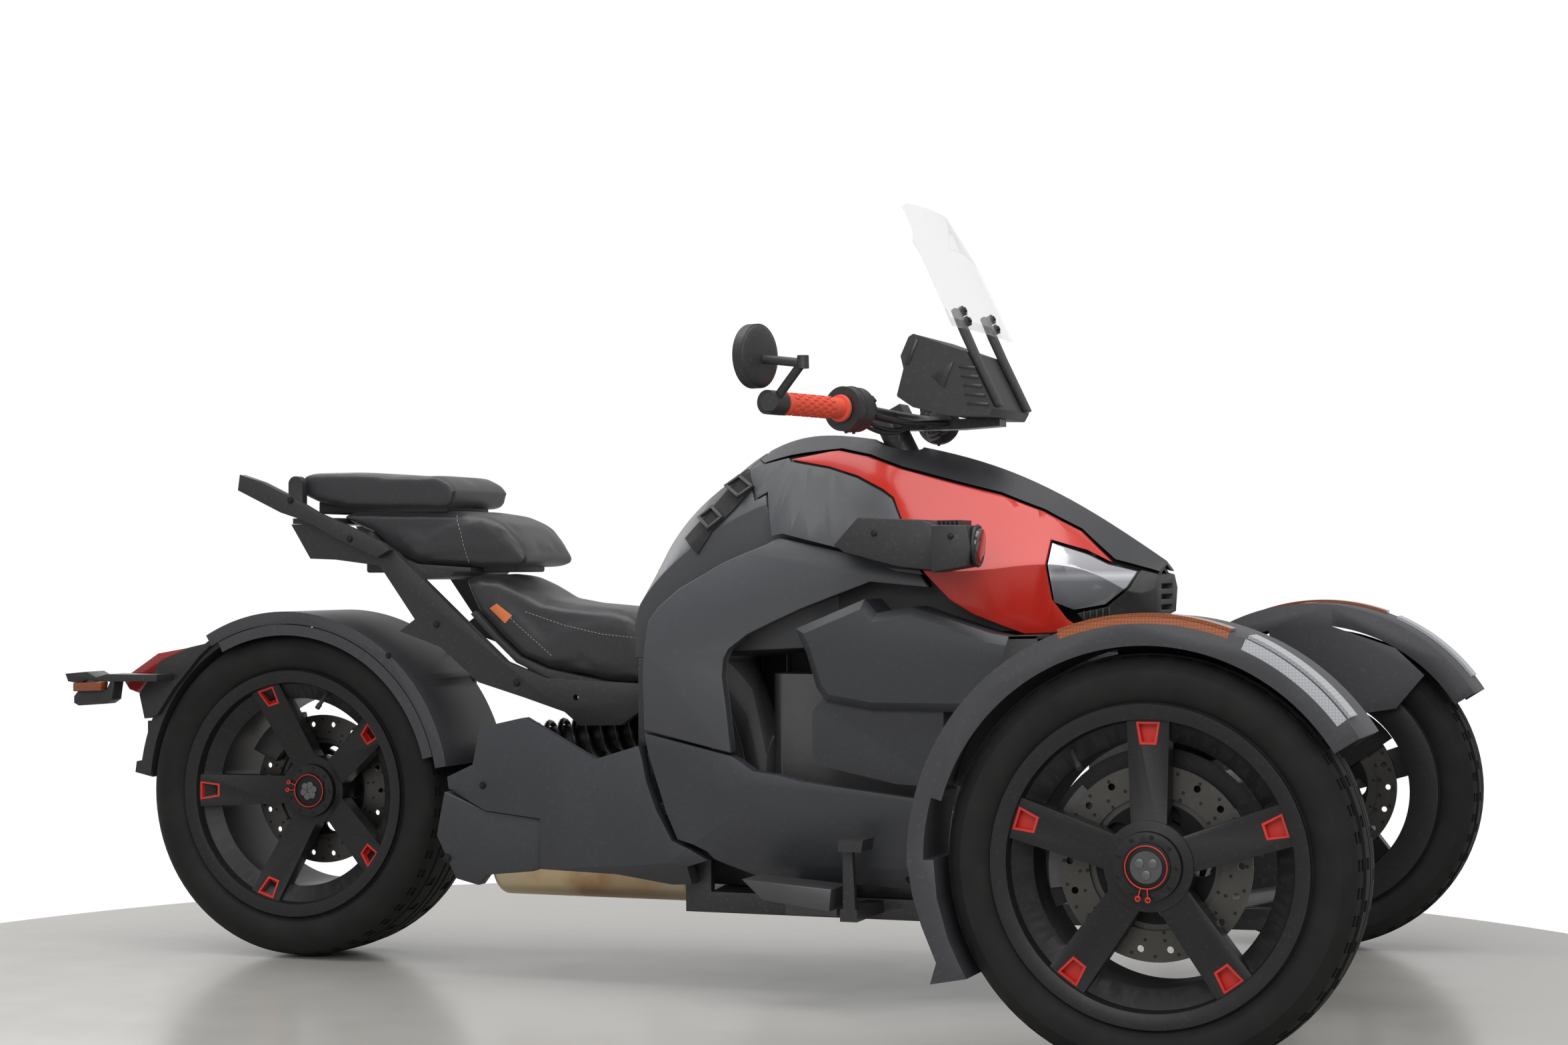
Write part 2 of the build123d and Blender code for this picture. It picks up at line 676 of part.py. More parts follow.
# Knuckle with stub axle, steering arm, caliper and fender stay, right side
disc_plane_y = half_track + front_rim_half_width - front_disc_depth - disc_thickness
with BuildPart() as knuckle_right:
    with Locations(Pos(front_axle_x, -kingpin_y, kingpin_z)):
        Cylinder(17, 250)
    with BuildSketch(side.offset(kingpin_y - 16)):
        with Locations((0, front_tyre_radius)):
            Circle(56)
    extrude(amount=32)
    with BuildSketch(side.offset(kingpin_y)):
        with Locations((0, front_tyre_radius)):
            Circle(stub_axle_radius)
    extrude(amount=half_track + front_rim_half_width - front_hub_recess - kingpin_y + 14)
    with Locations(Pos(front_axle_x - steering_arm_length / 2, -kingpin_y, kingpin_z - arm_drop)):
        Box(steering_arm_length + 20, 26, steering_arm_thickness)
    with BuildSketch(side.offset(disc_plane_y - 24)):
        with BuildLine():
            ThreePointArc((-72, 290 + 72), (-102, 290), (-72, 290 - 30))
            Line((-72, 260), (-150, 250))
            ThreePointArc((-150, 250), (-150, 310), (-104, 290 + 104))
            Line((-104, 394), (-72, 362))
        make_face()
    extrude(amount=20)
    with BuildSketch(side.offset(kingpin_y - 16)):
        with BuildLine():
            Polyline((-146, 262), (-40, 262), (-40, 318), (-146, 318), close=True)
        make_face()
    extrude(amount=disc_plane_y - kingpin_y)
    with BuildSketch(side.offset(kingpin_y - 6)):
        with BuildLine():
            Polyline((-17, 380), (17, 380), (20, 420), (-20, 420), close=True)
        make_face()
    extrude(amount=12)
knuckle_right.part.label = "knuckle_right"

# Front fender over the right wheel
fender_wall = 5
fender_outer_y = 758
fender_reach = 48
fender_front_deg = 32
fender_rear_deg = 164
tyre_clearance = 9
fender_inner_radius = front_tyre_radius + tyre_clearance


def arc_point(centre, radius, deg):
    """Side view point at a radius and an angle from straight ahead."""
    return (centre[0] + radius * cos(radians(deg)), centre[1] + radius * sin(radians(deg)))


def arc_band(centre, inner, outer, start_deg, end_deg, near, far):
    """Band about an axle in side view, between two distances to the right."""
    mid_deg = (start_deg + end_deg) / 2
    with BuildPart() as band:
        with BuildSketch(side.offset(near)):
            with BuildLine():
                ThreePointArc(
                    arc_point(centre, inner, start_deg), arc_point(centre, inner, mid_deg),
                    arc_point(centre, inner, end_deg),
                )
                Line(arc_point(centre, inner, end_deg), arc_point(centre, outer, end_deg))
                ThreePointArc(
                    arc_point(centre, outer, end_deg), arc_point(centre, outer, mid_deg),
                    arc_point(centre, outer, start_deg),
                )
                Line(arc_point(centre, outer, start_deg), arc_point(centre, inner, start_deg))
            make_face()
        extrude(amount=far - near)
    return band.part


front_centre = (0, front_tyre_radius)
fender_outer_radius = front_tyre_radius + fender_reach
stay_outline = [(-30, 420), (30, 420), (150, 440), (200, 500), (150, 548), (20, 592), (-80, 590), (-60, 500)]
flap_outline = [(-338, 290), (-299, 290), (-294.5, 238), (-279, 183), (-264, 150), (-252, 128),
                (-305, 118), (-296, 148), (-317, 198), (-330, 240)]
with BuildPart() as fender_right:
    add(arc_band(front_centre, fender_inner_radius, fender_outer_radius, fender_front_deg,
                 fender_rear_deg, kingpin_y - 12, fender_outer_y))
    add(arc_band(front_centre, fender_inner_radius - 10, fender_outer_radius - fender_wall,
                 fender_front_deg - 5, fender_rear_deg + 5, kingpin_y - 12 + fender_wall,
                 fender_outer_y - fender_wall), mode=Mode.SUBTRACT)
    add(arc_band(front_centre, fender_outer_radius - 24, fender_outer_radius, fender_rear_deg - 1,
                 182, kingpin_y + 40, fender_outer_y))
    add(slab(flap_outline, kingpin_y + 40, fender_outer_y))
    add(slab(stay_outline, kingpin_y - 12, kingpin_y - 6))
    add(slab([(-20, 420), (20, 420), (20, 450), (-20, 450)], kingpin_y - 12, kingpin_y + 6))
fender_right.part.label = "fender_right"

# Amber reflector and turn lens on the fender
lens_seat = 0.3
lens_height = 5
with BuildPart() as fender_lens_right:
    add(arc_band(front_centre, fender_outer_radius + lens_seat, fender_outer_radius + lens_height,
                 70, 111, 716, 752))
    add(arc_band(front_centre, fender_outer_radius + lens_seat, fender_outer_radius + lens_height,
                 37, 66, 690, 745))
fender_lens_right.part.label = "fender_lens_right"

# Tie rods and centre link under the steering arms
with BuildPart() as tie_rods:
    with Locations(Pos(front_axle_x - steering_arm_length, 0, tie_rod_z) * Rot(90, 0, 0)):
        Cylinder(tie_rod_radius, 2 * kingpin_y)
    with Locations(
        (front_axle_x - steering_arm_length, -kingpin_y, tie_rod_z),
        (front_axle_x - steering_arm_length, kingpin_y, tie_rod_z),
    ):
        Cylinder(tie_eye_radius, tie_eye_height)
tie_rods.part.label = "tie_rods"

# Control arms, two a side
arm_radius = 12
arm_pivot_y = bulkhead_half_width + 4
upper_arm_z = 380
lower_arm_z = 210
ball_gap = 1.2


def strut(start, end, radius):
    """Round bar between two points."""
    path = Vector(*end) - Vector(*start)
    with BuildPart() as bar:
        with BuildSketch(Plane(origin=start, z_dir=path)):
            Circle(radius)
        extrude(amount=path.length)
    return bar.part


arm_struts = []
for arm_z, pivot_z, pivot_places in (
    (upper_arm_z, upper_arm_z + 10, (-150, 95)), (lower_arm_z, lower_arm_z - 20, (-110, 85)),
):
    for pivot_x in pivot_places:
        arm_struts.append(
            strut(
                (front_axle_x + pivot_x, -arm_pivot_y, pivot_z),
                (front_axle_x, -(kingpin_y - 17 - ball_gap), arm_z), arm_radius,
            )
        )
with BuildPart() as control_arms:
    for bar in arm_struts:
        add(bar)
    with Locations((front_axle_x - 3, -446, 197)):
        Box(60, 26, 8)
    mirror(about=Plane.XZ)
control_arms.part.label = "control_arms"

# Front dampers with springs
damper_low = Vector(front_axle_x - 3, -446, 208)
damper_high = Vector(front_axle_x - 80, -bulkhead_half_width - 6, 516)
damper_path = damper_high - damper_low
damper_rod_radius = 8
spring_radius = 28
damper_pieces = [
    strut(damper_low, damper_high, damper_rod_radius),
    strut(damper_low + damper_path * 0.2, damper_low + damper_path * 0.9, spring_radius),
]
with BuildPart() as dampers:
    for bar in damper_pieces:
        add(bar)
    mirror(about=Plane.XZ)
dampers.part.label = "dampers"

# Rear swingarm on the left side with its axle and caliper
pivot_x = -960
pivot_z = 330
arm_inner_y = 120
arm_outer_y = 170
arm_front_x = frame_rear_x - 0.3
with BuildPart() as swingarm:
    with BuildSketch(side.offset(-arm_outer_y)):
        with BuildLine():
            Polyline((arm_front_x, 290), (arm_front_x, 390), (-1100, 396), (-1500, 372),
                     (-wheelbase - 70, 340), (-wheelbase - 70, 250), (-1500, 262), (-1100, 276),
                     close=True)
        make_face()
    extrude(amount=arm_outer_y - arm_inner_y)
    with BuildSketch(side.offset(-arm_outer_y)):
        with Locations((-wheelbase, rear_tyre_radius)):
            Circle(stub_axle_radius)
    extrude(amount=arm_outer_y + 30)
    with BuildSketch(side.offset(-arm_outer_y)):
        with BuildLine():
            Polyline((arm_front_x, 290), (arm_front_x, 380), (-1060, 380), (-1060, 290), close=True)
        make_face()
    extrude(amount=arm_outer_y + 40)
    add(slab([(-1362, 296), (-1332.3, 296), (-1332.3, 400), (-1362, 400)], -arm_inner_y - 10, -30))
swingarm.part.label = "swingarm"

# Rear damper with spring
with BuildPart() as rear_damper:
    add(strut((front_axle_x - 1329.5, 60, 374), (front_axle_x + frame_rear_x - 2, 60, 424), 10))
    add(strut((front_axle_x - 1310, 60, 377), (front_axle_x - 1050, 60, 415), 30))
rear_damper.part.label = "rear_damper"

# Rear fender
rear_centre = (-wheelbase, rear_tyre_radius)
rear_fender_inner = rear_tyre_radius + tyre_clearance
rear_fender_outer = rear_fender_inner + 22
rear_fender_half_width = 116
with BuildPart() as rear_fender:
    add(arc_band(rear_centre, rear_fender_inner, rear_fender_outer, 10, 120,
                 -rear_fender_half_width, rear_fender_half_width))
    add(arc_band(rear_centre, rear_fender_inner - 8, rear_fender_outer - fender_wall, 6, 124,
                 fender_wall - rear_fender_half_width, rear_fender_half_width - fender_wall),
        mode=Mode.SUBTRACT)
    add(slab([(-1525, 330), (-1470, 330), (-1445, 495), (-1495, 530)], -arm_inner_y + seat_gap,
             -rear_fender_half_width + 6))
rear_fender.part.label = "rear_fender"

# Tail carrier with the plate bracket
plate_bolt_z = 385
plate_bolt_spacing = 120
plate_bolt_radius = 3.5
tail_outline = [
    (-1868, 567), (-1920, 556), (-1982, 530), (-2027, 470), (-2016, 425), (-1990, 432), (-1955, 480),
    (-1900, 540),
]
with BuildPart() as tail_carrier:
    add(arc_band(rear_centre, rear_fender_inner, rear_fender_outer, 120.06, 175, -80, 80))
    add(slab(tail_outline, -95, 95))
    add(arc_band(rear_centre, 200, rear_fender_inner, 100, 179, -100, 100), mode=Mode.SUBTRACT)
    add(slab([(-2012, 317), (-2049, 325), (-2046, 345), (-2022, 350), (-2022, 420), (-2010, 420)],
             -75, 75))
    with BuildSketch(Plane(origin=(front_axle_x - 1980, 0, plate_bolt_z), x_dir=(0, 1, 0), z_dir=(1, 0, 0))):
        with GridLocations(plate_bolt_spacing, 1, 2, 1):
            Circle(plate_bolt_radius)
    extrude(amount=-60, mode=Mode.SUBTRACT)
tail_carrier.part.label = "tail_carrier"

# Tail lamp on top of it
tail_lamp_outline = [(-1921, 556.4), (-1982.5, 530.6), (-2027.8, 470.2), (-2052, 478), (-2066, 497), (-1990, 545)]
with BuildPart() as tail_lamp:
    add(slab(tail_lamp_outline, -90, 90))
tail_lamp.part.label = "tail_lamp"

# Rear turn signals on stalks
stalk_outline = [
    (-1954, 508), (-2060, 508), (-2083, 502), (-2103, 512), (-2149, 508), (-2143, 494),
    (-2117, 490), (-2103, 498), (-2083, 494), (-1954, 496),
]
signal_outline = [(-2052, 496), (-2060, 480), (-2120, 478), (-2130, 467), (-2130, 455), (-2120, 450),
                  (-2062, 454), (-2049, 462), (-2044, 494)]
with BuildPart() as rear_signals:
    add(slab(stalk_outline, 95, 150))
    add(slab(signal_outline, 120, 150))
    mirror(about=Plane.XZ)
rear_signals.part.label = "rear_signals"

# Footpegs and brake pedal
peg_outline = [(-744, 204), (-593, 193), (-597, 158), (-708, 172)]
with BuildPart() as footpegs:
    add(slab(peg_outline, 266, 350))
    add(slab([(-700, 140), (-612, 140), (-612, 174), (-700, 174)], rail_outer_y + seat_gap, 270))
    mirror(about=Plane.XZ)
footpegs.part.label = "footpegs"

pedal_outline = [(-583, 270), (-542, 271), (-545, 252), (-583, 252)]
with BuildPart() as brake_pedal:
    add(slab(pedal_outline, 290, 346))
    add(slab([(-583, 145), (-583, 262), (-568, 262), (-562, 145)], 312, 324))
    add(slab([(-588, 140), (-588, 160), (-560, 160), (-560, 140)], rail_outer_y + seat_gap, 324))
brake_pedal.part.label = "brake_pedal"

# Auxiliary lamps on brackets
aux_lamp_outline = [(-431.7, 762), (-373, 761), (-368, 725), (-374, 697), (-431.7, 688)]
aux_bracket_outline = [
    (-609, 732), (-568, 776), (-461, 771), (-432, 760), (-432, 690), (-500, 697), (-590, 720),
]
with BuildPart() as aux_lamps:
    add(slab(aux_lamp_outline, 264, 336))
    mirror(about=Plane.XZ)
aux_lamps.part.label = "aux_lamps"
with BuildPart() as aux_brackets:
    add(slab(aux_bracket_outline, 190, 290))
    add(body_clear, mode=Mode.SUBTRACT)
    add(flank_clear, mode=Mode.SUBTRACT)
    mirror(about=Plane.XZ)
aux_brackets.part.label = "aux_brackets"


# Handlebar with riser and bar
bar_radius = 11
riser_from = 68
riser_height = 20
riser_length = 60
riser_width = 46
riser_forward = 6
bar_inner = (front_axle_x - 575, -90, 945)
bar_mid = (front_axle_x - 590, -220, 950)
bar_end = (front_axle_x - 655, -425, 952)
bar_struts = [
    strut((front_axle_x - 575, 5, 945), bar_inner, bar_radius),
    strut(bar_inner, bar_mid, bar_radius),
    strut(bar_mid, bar_end, bar_radius),
]
with BuildPart() as handlebar:
    for bar in bar_struts:
        add(bar)
    with Locations(bar_inner, bar_mid):
        Sphere(bar_radius)
    mirror(about=Plane.XZ)
    with BuildSketch(steering_plane.offset(0.3 - column_top)):
        Circle(stem_radius)
    extrude(amount=column_top + riser_from)
    with BuildSketch(steering_plane.offset(riser_from)):
        with Locations((riser_forward, 0)):
            Rectangle(riser_length, riser_width)
    extrude(amount=riser_height)
    with BuildSketch(side.offset(-20)):
        with BuildLine():
            Polyline((-620, 936), (-560, 941), (-468, 943.6), (-410, 941.8), (-410, 930), (-480, 926),
                     (-590, 926), close=True)
        make_face()
    extrude(amount=40)
handlebar.part.label = "handlebar"

# Grips and bar end hubs
grip_radius = 16.5
grip_start = (front_axle_x - 603, -263, 950.4)
grip_end = (front_axle_x - 650, -409, 951.8)
with BuildPart() as grips:
    add(strut(grip_start, grip_end, grip_radius))
    add(strut(bar_mid, bar_end, bar_radius + 0.3), mode=Mode.SUBTRACT)
    mirror(about=Plane.XZ)
grips.part.label = "grips"

switch_start = (front_axle_x - 590, -222, 950)
switch_end = (front_axle_x - 602.5, -261, 950.3)
with BuildPart() as controls:
    add(strut(switch_start, switch_end, 36))
    add(strut(bar_mid, bar_end, bar_radius + 0.3), mode=Mode.SUBTRACT)
    mirror(about=Plane.XZ)
controls.part.label = "controls"

# Mirrors at the bar ends
mirror_radius = 50
mirror_centre = (front_axle_x - 682, -440, 1024)
hub_start = (front_axle_x - 650.5, -411, 951.8)
hub_end = (front_axle_x - 662, -445, 952.2)
with BuildPart() as mirrors:
    add(strut(hub_start, hub_end, 19))
    add(strut(bar_mid, bar_end, bar_radius + 0.3), mode=Mode.SUBTRACT)
    add(strut((front_axle_x - 652, -434, 955), (front_axle_x - 600, -450, 1012), 7))
    add(strut((front_axle_x - 598, -450, 1010), (front_axle_x - 678, -442, 1020), 7))
    with BuildSketch(Plane(origin=mirror_centre, z_dir=(-1, 0.25, 0))):
        Circle(mirror_radius)
    extrude(amount=8, both=True)
    mirror(about=Plane.XZ)
mirrors.part.label = "mirrors"

# Gauge console
console_outline = [
    (-553, 1034), (-539, 1065), (-531, 1070), (-457, 1043), (-441, 1038), (-395, 946),
    (-403, 932), (-470, 934), (-532, 949), (-560, 968), (-548, 1013),
]
console_lift = 10
with BuildPart() as console:
    add(slab([(x, z + console_lift) for x, z in console_outline], -110, 110, 4))
console.part.label = "console"

# Screen brackets and windscreen
screen_bracket_outline = [
    (-394.5, 956.3), (-387, 960), (-430, 1050), (-444.4, 1082.6), (-462.4, 1121.6), (-470, 1117),
    (-455, 1080), (-440.4, 1048.7),
]
with BuildPart() as screen_brackets:
    add(slab(screen_bracket_outline, 70, 100))
    mirror(about=Plane.XZ)
screen_brackets.part.label = "screen_brackets"

screen_half_width = 180
with BuildPart() as screen:
    with BuildSketch(side.offset(-screen_half_width)):
        with BuildLine():
            Polyline((-440, 1084), (-458, 1124), (-480, 1172), (-504, 1224), (-545, 1295),
                     (-549, 1293), (-508, 1222), (-484, 1170), (-462, 1122), (-444, 1082), close=True)
        make_face()
    extrude(amount=2 * screen_half_width)
screen.part.label = "screen"


def export_piece(solid, label):
    """One file per piece."""
    solid.label = label
    export_step(solid, "parts/" + label + ".step")


os.makedirs("parts", exist_ok=True)
for item in (
    hood, fairings, side_panels, headlamps, nose, tank, c_panels, sill_panels, engine_covers,
    rear_covers, muffler, muffler_shield, inner_cowl, frame, engine, subframe, rack, rider_seat, pillion_seat,
    backrest, knuckle_right, fender_right, fender_lens_right, tie_rods, control_arms, dampers,
    swingarm, rear_damper, rear_fender, tail_carrier, tail_lamp, rear_signals, footpegs,
    brake_pedal, aux_lamps, aux_brackets, handlebar, grips, controls, mirrors, console,
    screen_brackets, screen,
):
    export_piece(item.part, item.part.label)

# Left hand copies of the steered pieces
for item in (knuckle_right, fender_right, fender_lens_right):
    export_piece(mirror(item.part, about=Plane.XZ), item.part.label.replace("right", "left"))

# Wheels at their places
for name, solid in (("rim", front_rim), ("tyre", front_tyre), ("disc", front_disc)):
    export_piece(placed(solid, 0, -half_track, front_tyre_radius), name + "_front_right")
    export_piece(placed_left(solid, 0, half_track, front_tyre_radius), name + "_front_left")
for name, solid in (("rim", rear_rim), ("tyre", rear_tyre), ("disc", rear_disc)):
    export_piece(placed(solid, -wheelbase, 0, rear_tyre_radius), name + "_rear")
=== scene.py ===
import json
import math

import bmesh
import bpy
from mathutils import Matrix, Vector
from mathutils.bvhtree import BVHTree


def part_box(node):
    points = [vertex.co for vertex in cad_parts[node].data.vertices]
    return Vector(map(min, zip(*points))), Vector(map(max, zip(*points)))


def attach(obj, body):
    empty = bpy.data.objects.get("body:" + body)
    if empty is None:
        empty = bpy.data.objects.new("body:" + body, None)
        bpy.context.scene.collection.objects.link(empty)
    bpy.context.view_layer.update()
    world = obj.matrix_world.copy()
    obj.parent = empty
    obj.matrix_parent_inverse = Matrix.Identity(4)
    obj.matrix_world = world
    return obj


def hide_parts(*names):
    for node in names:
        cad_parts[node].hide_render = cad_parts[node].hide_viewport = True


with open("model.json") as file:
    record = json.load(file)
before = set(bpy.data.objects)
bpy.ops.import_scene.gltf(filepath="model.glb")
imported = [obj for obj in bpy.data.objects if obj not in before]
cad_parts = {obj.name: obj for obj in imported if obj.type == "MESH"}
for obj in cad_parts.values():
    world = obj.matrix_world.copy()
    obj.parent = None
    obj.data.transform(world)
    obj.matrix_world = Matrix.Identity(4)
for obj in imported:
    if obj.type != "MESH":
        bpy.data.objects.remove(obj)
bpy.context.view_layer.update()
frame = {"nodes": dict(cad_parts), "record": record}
nodes = frame["nodes"]
scene = bpy.context.scene
print("frame loaded")


def axleOf(rim):
    # how far ahead and above the floor the middle of a rim is, in metres
    low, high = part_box(rim)
    return (low.x + high.x) / 2, (low.z + high.z) / 2


axleX, axleZ = axleOf("rim_front_right")
rearX, rearZ = axleOf("rim_rear")
frontCentre = (0, axleZ * 1000)
rearCentre = ((rearX - axleX) * 1000, rearZ * 1000)
upward = Vector((0, 0, 1))


def at(x, y, z):
    # millimetres ahead of the front axle, to the left and above the floor
    return Vector((x / 1000 + axleX, y / 1000, z / 1000))


# helpers for shader nodes
def feed(tree, node, given):
    # gives each named input a plain value or a link from another socket
    for slot, value in given.items():
        if isinstance(value, bpy.types.NodeSocket):
            tree.links.new(value, node.inputs[slot])
        else:
            node.inputs[slot].default_value = value


def addNode(tree, kind, given=None, **settings):
    made = tree.nodes.new("ShaderNode" + kind)
    for label, value in settings.items():
        setattr(made, label, value)
    feed(tree, made, given or {})
    return made


def placeOf(tree):
    return addNode(tree, "TexCoord").outputs["Object"]


def noiseOf(tree, scale, detail):
    given = {"Vector": placeOf(tree), "Scale": scale, "Detail": detail}
    return addNode(tree, "TexNoise", given).outputs["Fac"]


def maths(tree, operation, *given):
    return addNode(tree, "Math", dict(enumerate(given)), operation=operation).outputs[0]


def rangeOf(tree, amount, low, high, toLow=0.0, toHigh=1.0):
    given = {"Value": amount, "From Min": low, "From Max": high, "To Min": toLow, "To Max": toHigh}
    return addNode(tree, "MapRange", given).outputs["Result"]


def rampOf(tree, amount, stops):
    # a colour ramp through places and colours
    ramp = addNode(tree, "ValToRGB", {"Fac": amount})
    elements = ramp.color_ramp.elements
    for where, tone in stops[1:-1]:
        elements.new(where)
    for element, (where, tone) in zip(elements, stops):
        element.position = where
        element.color = (*tone, 1)
    return ramp.outputs["Color"]


def mixColour(tree, amount, first, second):
    # first and second are sockets or plain colours; 6, 7 and 2 are the Mix node's colour sockets
    first, second = ((*c, 1) if isinstance(c, tuple) else c for c in (first, second))
    return addNode(tree, "Mix", {0: amount, 6: first, 7: second}, data_type="RGBA").outputs[2]


# shader groups shared by several finishes
def newGroup(name, inputs, outputs):
    group = bpy.data.node_groups.new(name, "ShaderNodeTree")
    for label, value in inputs.items():
        kind = "NodeSocketColor" if isinstance(value, tuple) else "NodeSocketFloat"
        group.interface.new_socket(label, in_out="INPUT", socket_type=kind).default_value = value
    for label, kind in outputs.items():
        group.interface.new_socket(label, in_out="OUTPUT", socket_type=kind)
    return group, group.nodes.new("NodeGroupInput").outputs, group.nodes.new("NodeGroupOutput")


def buildGrain():
    # a fine moulded or cast grain with slow gloss changes
    group, given, out = newGroup(
        "mouldedGrain",
        {"Scale": 900.0, "Depth": 0.5, "Gloss": 0.5, "Spread": 0.1},
        {"Roughness": "NodeSocketFloat", "Height": "NodeSocketFloat"},
    )
    gloss = maths(group, "MULTIPLY_ADD", noiseOf(group, 9.0, 4.0), given["Spread"], given["Gloss"])
    height = maths(group, "MULTIPLY", noiseOf(group, given["Scale"], 3.0), given["Depth"])
    feed(group, out, {"Roughness": gloss, "Height": height})
    return group


def buildTint():
    # two close colours in slow clouds, with pale dust settled in places
    group, given, out = newGroup(
        "cloudTint",
        {"Colour": (0.1, 0.1, 0.1, 1), "Second": (0.2, 0.2, 0.2, 1), "Scale": 14.0, "Dust": 0.04},
        {"Colour": "NodeSocketColor"},
    )
    clouds = mixColour(group, noiseOf(group, given["Scale"], 5.0), given["Colour"], given["Second"])
    settled = rangeOf(group, noiseOf(group, 160.0, 6.0), 0.56, 0.8)
    amount = maths(group, "MULTIPLY", settled, given["Dust"])
    feed(group, out, {"Colour": mixColour(group, amount, clouds, (0.5, 0.48, 0.44))})
    return group


bandInputs = ("CentreX", "CentreZ", "Near", "Far", "Start", "End", "Outside")


def buildBand():
    # one inside a ring sector about an axle line, and past a distance from the middle plane
    group, given, out = newGroup("bandMask", dict.fromkeys(bandInputs, 0.0), {"Mask": "NodeSocketFloat"})
    split = addNode(group, "SeparateXYZ", {"Vector": placeOf(group)}).outputs
    ahead = maths(group, "SUBTRACT", split["X"], given["CentreX"])
    above = maths(group, "SUBTRACT", split["Z"], given["CentreZ"])
    flat = addNode(group, "CombineXYZ", {"X": ahead, "Z": above}).outputs["Vector"]
    radius = addNode(group, "VectorMath", {0: flat}, operation="LENGTH").outputs["Value"]
    angle = maths(group, "ARCTAN2", above, ahead)
    mask = maths(group, "GREATER_THAN", maths(group, "ABSOLUTE", split["Y"]), given["Outside"])
    for value, low, high in ((radius, "Near", "Far"), (angle, "Start", "End")):
        mask = maths(group, "MULTIPLY", mask, maths(group, "GREATER_THAN", value, given[low]))
        mask = maths(group, "MULTIPLY", mask, maths(group, "LESS_THAN", value, given[high]))
    feed(group, out, {"Mask": mask})
    return group


grainGroup = buildGrain()
tintGroup = buildTint()
bandGroup = buildBand()


def bandOf(tree, centre, radii, degrees=(-181, 181), outside=-1.0):
    values = (*centre, *radii, *(math.radians(d) for d in degrees), outside)
    return addNode(tree, "Group", dict(zip(bandInputs, values)), node_tree=bandGroup).outputs["Mask"]


# finishes
usualLook = {
    "clouds": 14.0, "dust": 0.04, "grain": 900.0, "depth": 0.5, "spread": 0.1,
    "bump": 0.3, "rise": 0.0004, "secondTone": 1.25, "plain": {},
}


def finishOf(name, look):
    # one finish: clouded colour, grained gloss, and a bump from the grain
    look = {**usualLook, **look}
    material = bpy.data.materials.new(name)
    material.use_nodes = True
    tree = material.node_tree
    second = look.get("second", [c * look["secondTone"] for c in look["colour"]])
    tones = {"Colour": (*look["colour"], 1), "Second": (*second, 1)}
    tint = addNode(tree, "Group", {}, node_tree=tintGroup)
    feed(tree, tint, {**tones, "Scale": look["clouds"], "Dust": look["dust"]})
    grain = addNode(tree, "Group", {}, node_tree=grainGroup)
    feed(
        tree, grain,
        {"Scale": look["grain"], "Depth": look["depth"], "Gloss": look["rough"], "Spread": look["spread"]},
    )
    bump = addNode(
        tree, "Bump",
        {"Strength": look["bump"], "Distance": look["rise"], "Height": grain.outputs["Height"]},
    )
    shader = tree.nodes["Principled BSDF"]
    feed(tree, shader, {"Base Color": tint.outputs["Colour"], "Roughness": grain.outputs["Roughness"]})
    feed(tree, shader, {"Normal": bump.outputs["Normal"], **look["plain"]})
    return material


